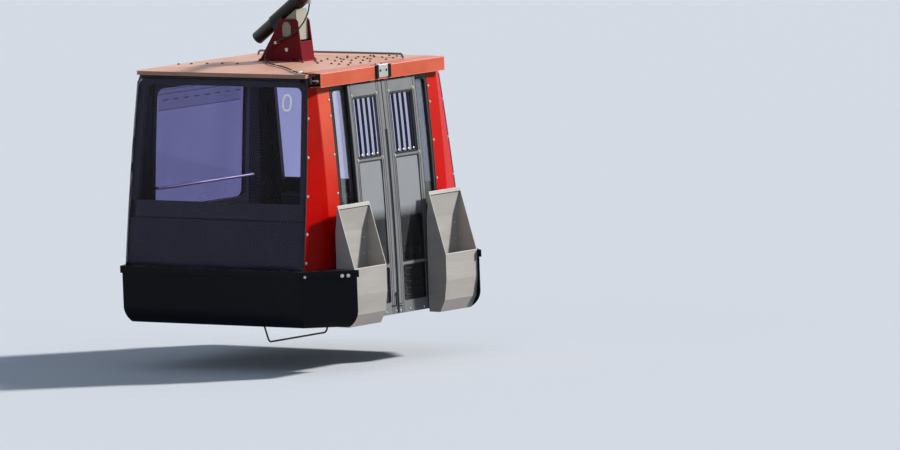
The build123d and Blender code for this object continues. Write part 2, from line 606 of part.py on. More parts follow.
with BuildPart() as near_door_kick:
    wall_strip(*KICK_Z, LEAF_OUT - 12, LEAF_OUT - 18, *LIGHT_Y)
    side_plate(LIGHT_Y[0] + FIT, LIGHT_Y[1] - FIT, KICK_Z[0] + FIT, KICK_Z[1] - FIT, 12 - FIT)
    count, pitch, first, radius, length = RIBS
    middle_y = (LIGHT_Y[0] + LIGHT_Y[1]) / 2
    for i in range(count):
        rib_z = KICK_Z[1] - first - i * pitch
        rib_x = wall_x(rib_z) + LEAF_OUT - 13
        with Locations(Plane(origin=(rib_x, middle_y, level(rib_z)), z_dir=(0, 1, 0))):
            Cylinder(radius, length)
finish_pair(near_door_kick, "near_door_kick", "far_door_kick")
SEAL_TOP = VENT_Z[0] + 210
with BuildPart() as near_door_seal:
    wall_strip(LEAF_BOTTOM + 4, SEAL_TOP, LEAF_OUT - 2, LEAF_CLEAR + 2, LEAF_Y[1] + FIT, -1)
    wall_strip(LEAF_BOTTOM + 4, LEAF_TOP - 4, LEAF_OUT - 1, LEAF_CLEAR, -LEAF_WIDTH - 8, -LEAF_WIDTH - FIT)
finish_pair(near_door_seal, "near_door_seal", "far_door_seal")
# Lever latch at the foot of the near leaf's inner stile, with its bolt, and the keeper on the far leaf
LATCH = (14, 5, -384, 119)  # width of the lever, thickness, height of its foot, length
LATCH_BOLT = (-84, -8, 12)  # from and to along the cabin, height
KEEPER = (8, 50, 24)
KNOB = (8, 18)
with BuildPart() as door_latch:
    wide, thick, foot, tall = LATCH
    latch_y = LEAF_Y[1] - 16
    latch_x = wall_x(foot) + LEAF_OUT + FIT
    block((latch_x, latch_x + thick), (latch_y - wide / 2, latch_y + wide / 2), (foot, foot + tall))
    block((latch_x, latch_x + thick), LATCH_BOLT[:2], (foot, foot + LATCH_BOLT[2]))
    with Locations(Plane(origin=(latch_x, latch_y, level(foot + tall - wide)), z_dir=(1, 0, 0))):
        Cylinder(KNOB[0], KNOB[1], align=(Align.CENTER, Align.CENTER, Align.MIN))
    fillet(edges().filter_by(Axis.X).group_by(Axis.Z)[-1], wide / 3)
finish(door_latch, "door_latch")
with BuildPart() as latch_keeper:
    keeper_z = foot + LATCH_BOLT[2] / 2
    block((latch_x, latch_x + thick), KEEPER[:2], (keeper_z - KEEPER[2] / 2, keeper_z + KEEPER[2] / 2))
    chamfer(edges().filter_by(Axis.X), thick - 1)
finish(latch_keeper, "latch_keeper")

# Ski baskets: folded sheet, open over the slanted front edge
BASKET = (  # side outline, outwards from the leaves, and heights
    (47, 514),
    (200, 0),
    (198, -215),
    (175, -375),
    (124, -473),
    (15, -473),
    (10, -440),
    (19, 293),
)
BASKET_MOUTH = ((50, 480), (189, -6), (273, 120), (140, 560))
BASKET_LIP = (20, 14)  # width of the lip along the front's top edge, and depth of its return
BASKET_HEM = 7  # return along the slanted edges of the side plates
BASKET_EAR = 270
basket_back = SIDE_REACH + LEAF_OUT
with BuildPart() as near_ski_basket:
    low_y, high_y = BASKET_Y
    with BuildSketch(Plane.XZ.offset(low_y)) as basket_side:
        with BuildLine():
            Polyline(*[(basket_back + x, level(z)) for x, z in BASKET], close=True)
        make_face()
    extrude(basket_side.sketch, amount=high_y - low_y)
    with BuildSketch(Plane.XZ.offset(low_y + BASKET_SHEET)) as basket_inside:
        add(basket_side.sketch.faces()[0])
        offset(amount=-BASKET_SHEET, kind=Kind.INTERSECTION)
        with BuildLine():
            Polyline(*[(basket_back + x, level(z)) for x, z in BASKET_MOUTH], close=True)
        make_face()
    extrude(basket_inside.sketch, amount=high_y - low_y - 2 * BASKET_SHEET, mode=Mode.SUBTRACT)
    lip_x = basket_back + BASKET[1][0] - 1
    lip_wide, lip_deep = BASKET_LIP
    block((lip_x - lip_wide, lip_x), (-high_y, -low_y), (-BASKET_SHEET, 0))
    block((lip_x - lip_wide, lip_x - lip_wide + BASKET_SHEET), (-high_y, -low_y), (-lip_deep, 0))
    with BuildSketch(Plane.XZ.offset(low_y)) as hem:
        with BuildLine():
            rim = [(basket_back + x, level(z)) for x, z in BASKET[:2]]
            Polyline(
                rim[0],
                rim[1],
                (rim[1][0] - BASKET_SHEET, rim[1][1]),
                (rim[0][0] - BASKET_SHEET, rim[0][1]),
                close=True,
            )
        make_face()
    extrude(hem.sketch, amount=BASKET_HEM)
    extrude(hem.sketch.moved(Location((0, -(high_y - low_y - BASKET_HEM), 0))), amount=BASKET_HEM)
    ear_z = (-BELT_LIP - 2 - BASKET_EAR, -BELT_LIP - 2)
    block((SIDE_REACH - WALL, basket_back + 21), (-high_y, -high_y + BASKET_SHEET), ear_z)
finish_pair(near_ski_basket, "near_ski_basket", "far_ski_basket")

# Suspension bracket on the roof: base, two leaning side plates with an arched hole, and a lower front plate
PLATE_Y = (72, 82)
BRACKET_BASE = (228, 118, 10)  # half length, half width, thickness
BASE_TOP = PAD[2] + BRACKET_BASE[2]
BRACKET_SIDE = (  # side outline, and heights over the base
    (-219, 0),
    (219, 0),
    (182, 316),
    (166, 338),
    (14, 338),
    (-8, 311),
)
ARCH = (61, BASE_TOP + 192, 49, 74)  # middle, foot, radius of the crown, height of its upright sides
BOLT = (65, BASE_TOP + 86, 9)  # place and radius of the bolt through both plates
BOLT_NUT = (17, 10)
FRONT_PLATE_TOP = BASE_TOP + 154
FRONT_SHEET = 10
with BuildPart() as suspension_bracket:
    base_half, base_wide, base_sheet = BRACKET_BASE
    block((-base_half, base_half), (-base_wide, base_wide), (PAD[2], BASE_TOP))
    chamfer(edges().filter_by(Axis.Z), 2 * base_sheet)
    with BuildSketch(Plane.XZ) as bracket_side:
        with BuildLine():
            Polyline(*[(x, level(BASE_TOP + z)) for x, z in BRACKET_SIDE], close=True)
        make_face()
        arch_x, arch_z, arch_r, arch_side = ARCH
        with Locations((arch_x, level(arch_z + arch_side / 2))):
            Rectangle(2 * arch_r, arch_side, mode=Mode.SUBTRACT)
        with Locations((arch_x, level(arch_z + arch_side))):
            Circle(arch_r, mode=Mode.SUBTRACT)
        with Locations((BOLT[0], level(BOLT[1]))):
            Circle(BOLT[2] + FIT, mode=Mode.SUBTRACT)
    extrude(bracket_side.sketch, amount=PLATE_Y[1], both=True)
    inner_half = PLATE_Y[0]
    block((-base_half, base_half), (-inner_half, inner_half), (BASE_TOP, BASE_TOP + 400), Mode.SUBTRACT)
    slope = (BRACKET_SIDE[1][0] - BRACKET_SIDE[2][0]) / BRACKET_SIDE[2][1]
    front = [(BRACKET_SIDE[1][0] - slope * (z - BASE_TOP), z) for z in (BASE_TOP, FRONT_PLATE_TOP)]
    with BuildSketch(Plane.XZ) as front_plate:
        with BuildLine():
            Polyline(
                *[(x, level(z)) for x, z in front],
                *[(x - FRONT_SHEET, level(z)) for x, z in reversed(front)],
                close=True,
            )
        make_face()
    extrude(front_plate.sketch, amount=inner_half, both=True)
finish(suspension_bracket, "suspension_bracket")
with BuildPart() as suspension_bolt:
    with Locations(Plane(origin=(BOLT[0], 0, level(BOLT[1])), z_dir=(0, 1, 0))):
        Cylinder(BOLT[2], 2 * (PLATE_Y[1] + BOLT_NUT[1] + 2))
    for sign in (-1, 1):
        nut_y = sign * (PLATE_Y[1] + FIT + BOLT_NUT[1] / 2)
        with BuildSketch(Plane(origin=(BOLT[0], nut_y, level(BOLT[1])), z_dir=(0, 1, 0))) as nut:
            RegularPolygon(BOLT_NUT[0], 6)
        extrude(nut.sketch, amount=BOLT_NUT[1] / 2, both=True)
finish(suspension_bolt, "suspension_bolt")

# Hanger: the arm leans out over the doors, rises beside the rope and ends in a bearing on the grip's shaft
ARM_FOOT = (-300, BASE_TOP + 168)
ARM_SLOPE = 35.4
ARM_OUT = 700
ARM_BENDS = (380, 260)
HUB_RADIUS = 80
SHAFT = (40, 0.05)  # radius, clearance in the bearing
arm_rise = (ARM_OUT - ARM_FOOT[0]) * tan(radians(ARM_SLOPE))


def arm_point(x, below=0):
    """Point under the sloping arm's middle line, measured square to it."""
    z = ARM_FOOT[1] + (x - ARM_FOOT[0]) * tan(radians(ARM_SLOPE)) - below / cos(radians(ARM_SLOPE))
    return (x, 0, level(z))


with BuildPart() as hanger_arm:
    with BuildLine() as arm_route:
        FilletPolyline(
            arm_point(ARM_FOOT[0]),
            arm_point(ARM_OUT),
            (ARM_OUT, 0, 0),
            (PIVOT_X[1], 0, 0),
            radius=list(ARM_BENDS),
        )
    with BuildSketch(Plane(origin=arm_route.line @ 0, z_dir=arm_route.line % 0)) as arm_tube:
        Circle(ARM_RADIUS)
    sweep(sections=arm_tube.sketch, path=arm_route.line)
    with Locations(Plane(origin=(PIVOT_X[0], 0, 0), z_dir=(1, 0, 0))):
        Cylinder(HUB_RADIUS, PIVOT_X[1] - PIVOT_X[0] + 12, align=(Align.CENTER, Align.CENTER, Align.MIN))
        Cylinder(
            SHAFT[0] + SHAFT[1],
            PIVOT_X[1] - PIVOT_X[0] - 4,
            align=(Align.CENTER, Align.CENTER, Align.MIN),
            mode=Mode.SUBTRACT,
        )
finish(hanger_arm, "hanger_arm")

COLLAR = (-116, 176, ARM_RADIUS + 8)  # from and to along X, outer radius
WEB = (60, 14)  # half width and sheet of the collar's web
with BuildPart() as hanger_collar:
    with BuildSketch(Plane.XZ) as web:
        with BuildLine():
            web_foot = BASE_TOP + 176
            Polyline(
                arm_point(-98, 20)[::2],
                arm_point(2, 20)[::2],
                (2, level(web_foot)),
                (-62, level(web_foot)),
                close=True,
            )
        make_face()
    extrude(web.sketch, amount=WEB[0], both=True)
    web_inside = WEB[0] - WEB[1]
    block((-100, 3), (-web_inside, web_inside), (BASE_TOP, web_foot + 300), Mode.SUBTRACT)
    for sign in (-1, 1):
        y_range = sorted((sign * WEB[0], sign * PLATE_Y[0]))
        block((-40, -4), y_range, (web_foot + 10, web_foot + 46))
    along = Vector(cos(radians(ARM_SLOPE)), 0, sin(radians(ARM_SLOPE)))
    collar_length = (COLLAR[1] - COLLAR[0]) / cos(radians(ARM_SLOPE))
    with Locations(Plane(origin=arm_point(COLLAR[0]), z_dir=along)):
        from_foot = (Align.CENTER, Align.CENTER, Align.MIN)
        Cylinder(COLLAR[2], collar_length, align=from_foot)
        Cylinder(ARM_RADIUS + FIT, collar_length, align=from_foot, mode=Mode.SUBTRACT)
finish(hanger_collar, "hanger_collar")

BLOCK_X = (12, 170)
with BuildPart() as suspension_block:
    with BuildSketch(Plane.XZ) as block_profile:
        with BuildLine():
            Polyline(
                (BLOCK_X[0], level(FRONT_PLATE_TOP + 4)),
                (BLOCK_X[1], level(FRONT_PLATE_TOP + 4)),
                arm_point(BLOCK_X[1] - 8, COLLAR[2] + FIT)[::2],
                arm_point(BLOCK_X[0], COLLAR[2] + FIT)[::2],
                close=True,
            )
        make_face()
        chamfer(block_profile.vertices().sort_by(Axis.X)[-1], 8)
    extrude(block_profile.sketch, amount=PLATE_Y[0] - FIT, both=True)
finish(suspension_block, "suspension_block")

# Thin black cable from the arm, across the bracket and the roof, into the open end of the door header
CABLE_RADIUS = 6
CABLE_DOWN = (  # from the arm to the roof, heights over the roof pad
    (250, 0, 476),
    (243, -10, 406),
    (228, -50, 326),
    (190, -96, 258),
    (120, -114, 208),
    (20, -112, 178),
    (-70, -110, 131),
    (-128, -118, 68),
    (-112, -158, 14),
)
CABLE_LIFT = 11  # height of the cable's middle over the roof
CABLE_ALONG = (
    (-35, -230),
    (60, -330),
    (180, -415),
    (310, -500),
    (450, -600),
    (590, -715),
    (705, -815),
    (SIDE_REACH - 213, -HEADER_HALF - 37),
    (SIDE_REACH - 141, -HEADER_HALF - 53),
)
CABLE_IN = (  # into the header's open end, depths under its top
    (SIDE_REACH - 88, -HEADER_HALF - 33, 16),
    (SIDE_REACH - 73, -HEADER_HALF + 5, 22),
    (SIDE_REACH - 67, -HEADER_HALF + 29, 22),
)
CABLE_ROUTE = (
    *[(x, y, level(PAD[2] + z)) for x, y, z in CABLE_DOWN],
    *[(x, y, level(roof_height(x, y) + CABLE_LIFT)) for x, y in CABLE_ALONG],
    *[(x, y, level(HEADER_Z[1] - z)) for x, y, z in CABLE_IN],
)


def cord_radii(points):
    """Bend radius at each inner point of a route: as large as its two runs allow."""
    radii = []
    for before, here, after in zip(points, points[1:], points[2:]):
        run_in, run_out = Vector(*here) - Vector(*before), Vector(*after) - Vector(*here)
        turn = radians(run_in.get_angle(run_out))
        radii.append(min(0.45 * min(run_in.length, run_out.length) / tan(turn / 2), 2000))
    return radii


radii = cord_radii(CABLE_ROUTE)
print("cable radii", [round(r) for r in radii])
with BuildLine() as cable_route:
    FilletPolyline(*CABLE_ROUTE, radius=radii)
print("cable length", round(sum(edge.length for edge in cable_route.edges())))
cable_start = Plane(origin=cable_route.line @ 0, z_dir=cable_route.line % 0)
with BuildPart() as hanger_cable:
    with BuildSketch(cable_start) as cable_section:
        Circle(CABLE_RADIUS)
    sweep(sections=cable_section.sketch, path=cable_route.line)
finish(hanger_cable, "hanger_cable")

# Clips that hold the cable: on the arm, on the bracket's side plate and twice on the roof
CLIP = 11  # half width
ROOF_CLIPS = ((245, -457), (648, -765))
with BuildPart() as cable_clips:
    block((239, 261), (-CLIP, CLIP), (PAD[2] + 468, PAD[2] + 508))
    block((-25 - CLIP, -25 + CLIP), (-122, -PLATE_Y[1]), (PAD[2] + 144, PAD[2] + 166))
    for clip_x, clip_y in ROOF_CLIPS:
        foot = roof_height(clip_x - CLIP, clip_y - CLIP) + 1
        clip_top = roof_height(clip_x, clip_y) + CABLE_LIFT + CLIP
        block((clip_x - CLIP, clip_x + CLIP), (clip_y - CLIP, clip_y + CLIP), (foot, clip_top))
    with Locations(Plane(origin=arm_point(0), z_dir=along)):
        Cylinder(ARM_RADIUS + FIT, 1000, mode=Mode.SUBTRACT)
    with BuildSketch(cable_start) as clip_hole:
        Circle(CABLE_RADIUS + FIT)
    sweep(sections=clip_hole.sketch, path=cable_route.line, mode=Mode.SUBTRACT)
finish(cable_clips, "cable_clips")

# Rope grip: fixed jaw and housing, moving jaw, spring packs, operating lever and two running wheels
ROPE_RADIUS = 20
JAW_HALF = 100
SHAFT_END = PIVOT_X[1] - 10
WHEEL = (75, 36, 200, 60, 104, 12)  # radius, width, place along the rope, height, nearer face, axle radius
HOUSING = ((-52, 3), (-52, 66), (-16, 112), (196, 112), (238, 70), (238, -70), (196, -96), (64, -96), (64, 3))
with BuildPart() as grip_body:
    with BuildSketch(Plane.XZ) as housing:
        with BuildLine():
            Polyline(*HOUSING, close=True)
        make_face()
        fillet(housing.vertices().group_by(Axis.Y)[-1], 14)
        Circle(ROPE_RADIUS, mode=Mode.SUBTRACT)
    extrude(housing.sketch, amount=JAW_HALF, both=True)
    radius, width, wheel_y, wheel_z, wheel_x, axle = WHEEL
    block_z = (wheel_z - 30 + ROPE_TO_BELT, wheel_z + 30 + ROPE_TO_BELT)
    block((50, wheel_x - 10), (-wheel_y - 24, wheel_y + 24), block_z)
    with Locations(
        *[Plane(origin=(wheel_x - 12, sign * wheel_y, wheel_z), z_dir=(1, 0, 0)) for sign in (-1, 1)]
    ):
        Cylinder(axle, width + 20, align=(Align.CENTER, Align.CENTER, Align.MIN))
    with Locations(Plane(origin=(230, 0, 0), z_dir=(1, 0, 0))):
        Cylinder(SHAFT[0], SHAFT_END - 230, align=(Align.CENTER, Align.CENTER, Align.MIN))
        Cylinder(66, PIVOT_X[0] - 230 - 2, align=(Align.CENTER, Align.CENTER, Align.MIN))
finish(grip_body, "grip_body")
JAW_TOP = 1
JAW = ((-46, JAW_TOP), (64 - FIT, JAW_TOP), (64 - FIT, -92), (10, -92), (-34, -48))
with BuildPart() as moving_jaw:
    with BuildSketch(Plane.XZ) as jaw:
        with BuildLine():
            Polyline(*JAW, close=True)
        make_face()
        Circle(ROPE_RADIUS, mode=Mode.SUBTRACT)
        fillet(jaw.vertices().group_by(Axis.Y)[0], 10)
    extrude(jaw.sketch, amount=JAW_HALF - 8, both=True)
finish(moving_jaw, "moving_jaw")
SPRING = (6, 30, 22, 20)  # coils in a pack, outer radius, waist radius, coil pitch
with BuildPart() as spring_packs:
    coils, outer_r, waist_r, pitch = SPRING
    for sign in (-1, 1):
        for i in range(coils):
            centre = Plane(origin=(40 + i * pitch, sign * 52, 112 + outer_r), z_dir=(1, 0, 0))
            with Locations(centre):
                Cylinder(outer_r, pitch * 0.6, align=(Align.CENTER, Align.CENTER, Align.MIN))
        with Locations(Plane(origin=(34, sign * 52, 112 + outer_r), z_dir=(1, 0, 0))):
            Cylinder(waist_r, coils * pitch + 8, align=(Align.CENTER, Align.CENTER, Align.MIN))
finish(spring_packs, "spring_packs")
with BuildPart() as operating_lever:
    with BuildSketch(Plane.XZ) as lever_profile:
        with BuildLine():
            Polyline((-14, 112), (26, 112), (10, 262), (-22, 262), close=True)
        make_face()
        fillet(lever_profile.vertices().group_by(Axis.Y)[-1], 12)
    extrude(lever_profile.sketch, amount=16, both=True)
    with Locations(Plane(origin=(-6, 0, 240), z_dir=(0, 1, 0))):
        Cylinder(32, 20, align=(Align.CENTER, Align.CENTER, Align.MIN))
        Cylinder(10, 44, align=(Align.CENTER, Align.CENTER, Align.CENTER))
finish(operating_lever, "operating_lever")
with BuildPart() as near_running_wheel:
    radius, width, wheel_y, wheel_z, wheel_x, axle = WHEEL
    with BuildSketch(Plane.XZ) as wheel_half:
        with BuildLine():
            Polyline(
                (axle + SHAFT[1], -2),
                (26, -2),
                (32, 8),
                (58, 10),
                (62, 0),
                (radius, 0),
                (radius, width),
                (62, width),
                (58, width - 10),
                (32, width - 8),
                (26, width - 2),
                (axle + SHAFT[1], width - 2),
                close=True,
            )
        make_face()
    revolve(wheel_half.sketch, axis=Axis.Z)
wheel_at = Plane(origin=(wheel_x, -wheel_y, wheel_z), z_dir=(1, 0, 0))
near_running_wheel.part = near_running_wheel.part.moved(wheel_at.location)
finish_pair(near_running_wheel, "near_running_wheel", "far_running_wheel")
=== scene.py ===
import json
import math
import random

import bmesh
import bpy
from mathutils import Matrix, Vector


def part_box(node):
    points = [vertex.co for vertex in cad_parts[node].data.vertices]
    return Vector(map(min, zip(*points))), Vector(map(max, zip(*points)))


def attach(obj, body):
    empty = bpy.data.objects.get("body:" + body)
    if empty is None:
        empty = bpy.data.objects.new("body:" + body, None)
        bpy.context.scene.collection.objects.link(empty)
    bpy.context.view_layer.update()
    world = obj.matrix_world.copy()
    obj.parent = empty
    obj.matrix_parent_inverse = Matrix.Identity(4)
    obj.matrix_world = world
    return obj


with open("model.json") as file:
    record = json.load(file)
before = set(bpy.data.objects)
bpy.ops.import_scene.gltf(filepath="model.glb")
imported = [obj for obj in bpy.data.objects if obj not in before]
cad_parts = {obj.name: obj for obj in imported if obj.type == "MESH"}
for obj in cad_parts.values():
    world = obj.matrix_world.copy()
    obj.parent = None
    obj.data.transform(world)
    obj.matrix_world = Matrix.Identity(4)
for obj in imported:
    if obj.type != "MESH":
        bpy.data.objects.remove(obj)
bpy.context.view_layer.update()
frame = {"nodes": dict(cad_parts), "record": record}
NODES = frame["nodes"]
BELT = -3.650  # Z of the cabin's belt line; the frame's origin is on the rope

# Shape of the cabin, as the construction has it, in metres above the belt line
WALL_TOP = 1.548
SIDE_REACH = 1.013  # half width of the side walls at the belt
SIDE_WIDEST = -0.431  # height where the bowed side wall is widest
SIDE_RADIUS = 18.856
CORNER_REACH = 0.912  # half width where an end pane meets a corner panel
CORNER_RADIUS = 26.3
END_REACH = 1.118  # half length at the belt
END_LEAN = math.radians(7.6)
RIDGE_Y = 0.801  # fold of a corner panel, along the cabin
RIDGE_STEP = 0.008  # how far the fold lies inside the side wall
PANEL_Y = 0.648  # where a corner panel ends on the side wall
PANEL_BACK = 0.038  # how far a corner panel starts behind the end pane's face
ROOF_CROWN = 0.055  # top of the roof above the walls
ROOM_MIDDLE = 0.7
LEAF_FACE = 0.034  # outer face of a door leaf, beyond the side wall
EVERY_CORNER = ((1, -1), (1, 1), (-1, -1), (-1, 1))  # side of the cabin, end of the cabin
ENDS = ((-1, "near"), (1, "far"))
ALONG_X, UPWARD = Vector((1, 0, 0)), Vector((0, 0, 1))
DUST_MOST = 0.55  # share of the dust's colour on a level face
SHADED_SHEEN_SHARE = 0.12  # share of the painted sheen on the far half, and on faces between the fold and the end pane


# Camera: a long lens, 37 degrees off the end pane's axis, looking slightly down, rolled by two degrees
RIGHT = Vector((0.8002, 0.5986, -0.0365)).normalized()
UP = Vector((-0.0273, 0.0972, 0.9949)).normalized()
BACK = RIGHT.cross(UP).normalized()
UP = BACK.cross(RIGHT)
DISTANCE = 100.0
FRAME_WIDTH = 7.38  # metres that the picture spans at the cabin
SENSOR_WIDTH = 36  # millimetres
AIM = Vector((0, 0, BELT)) + RIGHT * 1.2726 + UP * 0.2476  # what lies in the middle of the picture
camera_data = bpy.data.cameras.new("camera")
camera_data.type = "PERSP"
camera_data.sensor_width = SENSOR_WIDTH
camera_data.lens = SENSOR_WIDTH * DISTANCE / FRAME_WIDTH
camera_data.clip_end = 500
camera = bpy.data.objects.new("camera", camera_data)
bpy.context.scene.collection.objects.link(camera)
camera.matrix_world = Matrix(
    (
        (RIGHT.x, UP.x, BACK.x, AIM.x + BACK.x * DISTANCE),
        (RIGHT.y, UP.y, BACK.y, AIM.y + BACK.y * DISTANCE),
        (RIGHT.z, UP.z, BACK.z, AIM.z + BACK.z * DISTANCE),
        (0, 0, 0, 1),
    )
)
bpy.context.scene.camera = camera


# Small kit for node trees
def linear(value):
    """One sRGB channel, 0 to 255, as a linear value."""
    v = value / 255
    return v / 12.92 if v <= 0.04045 else ((v + 0.055) / 1.055) ** 2.4


def rgb(r, g, b):
    """Linear colour of three sRGB channels, 0 to 255."""
    return (linear(r), linear(g), linear(b), 1)


def node(tree, kind, inputs=None, **settings):
    """Adds a node, sets its properties, then its inputs by name or number: a value, or a socket to link."""
    made = tree.nodes.new(kind)
    for key, value in settings.items():
        setattr(made, key, value)
    for key, value in (inputs or {}).items():
        socket = made.inputs[key]
        if isinstance(value, bpy.types.NodeSocket):
            tree.links.new(value, socket)
        else:
            socket.default_value = value
    return made


def blank(name):
    """New material with an empty tree and the object coordinates."""
    made = bpy.data.materials.new(name)
    made.use_nodes = True
    tree = made.node_tree
    tree.nodes.clear()
    coordinates = node(tree, "ShaderNodeTexCoord").outputs["Object"]
    return made, tree, coordinates


def noise(tree, where, scale, detail, stretch=None):
    """Noise in metres, stretched by a scale along each axis if one is given."""
    if stretch:
        where = node(tree, "ShaderNodeMapping", {"Vector": where, "Scale": stretch}).outputs["Vector"]
    inputs = {"Vector": where, "Scale": scale, "Detail": detail, "Roughness": 0.55}
    return node(tree, "ShaderNodeTexNoise", inputs).outputs["Fac"]


def remap(tree, value, low, high, to_low=0.0, to_high=1.0):
    """Takes the range from low to high onto another one, and clamps what lies outside."""
    inputs = {"Value": value, "From Min": low, "From Max": high, "To Min": to_low, "To Max": to_high}
    return node(tree, "ShaderNodeMapRange", inputs).outputs["Result"]


def mix(tree, factor, a, b):
    """Colour a where the factor is 0, and b where it is 1. 6, 7 and 2 are the node's colour sockets."""
    return node(tree, "ShaderNodeMix", {0: factor, 6: a, 7: b}, data_type="RGBA").outputs[2]


def math_node(tree, operation, a, b=0.0):
    return node(tree, "ShaderNodeMath", {0: a, 1: b}, operation=operation).outputs[0]


def axis(tree, vector, letter):
    """One coordinate of a vector."""
    return node(tree, "ShaderNodeSeparateXYZ", {0: vector}).outputs[letter]


def dot_product(tree, a, b):
    return node(tree, "ShaderNodeVectorMath", {0: a, 1: b}, operation="DOT_PRODUCT").outputs["Value"]


def seen_mask(tree):
    """1 for rays that show a thing to the camera, straight, through glass or mirrored, and 0 for light."""
    path = node(tree, "ShaderNodeLightPath").outputs
    seen = math_node(tree, "MAXIMUM", path["Is Camera Ray"], path["Is Transmission Ray"])
    return math_node(tree, "MAXIMUM", seen, path["Is Glossy Ray"])


def edge_mask(tree, radius):
    """1 along sharp edges and 0 elsewhere."""
    bevel = node(tree, "ShaderNodeBevel", {"Radius": radius}, samples=4).outputs["Normal"]
    flat = node(tree, "ShaderNodeNewGeometry").outputs["Normal"]
    return remap(tree, dot_product(tree, bevel, flat), 0.995, 0.93)


def inward(tree, where):
    """1 on faces that look towards the cabin's middle, and 0 on the others."""
    centre = (0, 0, BELT + ROOM_MIDDLE)
    middle = node(tree, "ShaderNodeVectorMath", {0: where, 1: centre}, operation="SUBTRACT")
    normal = node(tree, "ShaderNodeNewGeometry").outputs["True Normal"]
    return remap(tree, dot_product(tree, middle.outputs[0], normal), 0.0, -0.02)


def coated(
    name,
    colour,
    other,
    rough=(0.3, 0.45),
    metallic=0.0,
    grain=(60, 0.0004),
    patch=3.0,
    coat=0.0,
    wear_and_highlight=None,
    wear_and_highlight_radius=0.004,
    dust=None,
    stretch=None,
    specular=0.5,
    lining=None,
    painted_sheen=None,
    shaded_end=None,
):
    """Painted, moulded or bare surface: patches of two close colours, changing gloss, a fine grain, edges in
    the colour that wear_and_highlight gives, worn on most finishes and a painted highlight on the header and
    the aluminium sheet, and dust that gathers on faces that look up. grain is a scale and a depth, lining the
    colour of faces that look into the cabin, painted_sheen two heights and the colour of a painted sheen of
    reflected light reached between them, most of all on the near half between a fold and the side wall, and
    shaded_end a place across the cabin and the near black of painted shade on its -X side."""
    made, tree, where = blank(name)
    patches = remap(tree, noise(tree, where, patch, 4, stretch), 0.35, 0.68)
    base = mix(tree, patches, colour, other)
    gloss = remap(tree, noise(tree, where, patch * 5, 5, stretch), 0.3, 0.7, *rough)
    # Edge colour: wear on most finishes; on the header and the aluminium sheet it is a painted highlight.
    if wear_and_highlight:
        chips_and_glints = remap(tree, noise(tree, where, 90, 3), 0.42, 0.56)
        mask = math_node(tree, "MULTIPLY", edge_mask(tree, wear_and_highlight_radius), chips_and_glints)
        base = mix(tree, mask, base, wear_and_highlight)
    # Painted sheen: above a height the paint lightens towards a colour that stands in for reflected sky
    # light, fully on the near half between the fold and the side wall, and only in a small share elsewhere.
    if painted_sheen:
        low, high, sheen_colour = painted_sheen
        wander = remap(tree, noise(tree, where, 2.2, 3), 0.3, 0.7, -0.12, 0.12)
        height = math_node(tree, "ADD", axis(tree, where, "Z"), wander)
        sheen_share = remap(tree, height, BELT + low, BELT + high, 0.0, 0.85)
        along = axis(tree, where, "Y")
        near_half = remap(tree, along, -0.1, 0.1, 1.0, SHADED_SHEEN_SHARE)
        sheen_share = math_node(tree, "MULTIPLY", sheen_share, near_half)
        from_middle = math_node(tree, "ABSOLUTE", along)
        fold = remap(tree, from_middle, RIDGE_Y + 0.011, RIDGE_Y - 0.005, SHADED_SHEEN_SHARE, 1.0)
        base = mix(tree, math_node(tree, "MULTIPLY", sheen_share, fold), base, sheen_colour)
    # Painted shade: on the -X side of a place across the cabin the paint turns near black, standing in for
    # the shade on the arm's lower end.
    if shaded_end:
        edge, dark = shaded_end
        base = mix(tree, remap(tree, axis(tree, where, "X"), edge + 0.001, edge - 0.001), base, dark)
    if lining:
        base = mix(tree, inward(tree, where), base, lining)
    if dust:
        up = axis(tree, node(tree, "ShaderNodeNewGeometry").outputs["Normal"], "Z")
        speckle = remap(tree, noise(tree, where, 14, 6), 0.4, 0.75)
        film = math_node(tree, "MULTIPLY", remap(tree, up, 0.5, 1.0, 0, DUST_MOST), speckle)
        base = mix(tree, film, base, dust)
    inputs = {
        "Base Color": base,
        "Roughness": gloss,
        "Metallic": metallic,
        "Coat Weight": coat,
        "Specular IOR Level": specular,
    }
    if grain:
        scale, height = grain
        fine = noise(tree, where, scale, 3, stretch)
        bump = node(tree, "ShaderNodeBump", {"Height": fine, "Distance": height, "Strength": 1.0})
        inputs["Normal"] = bump.outputs["Normal"]
    shader = node(tree, "ShaderNodeBsdfPrincipled", inputs)
    node(tree, "ShaderNodeOutputMaterial", {"Surface": shader.outputs[0]})
    return made


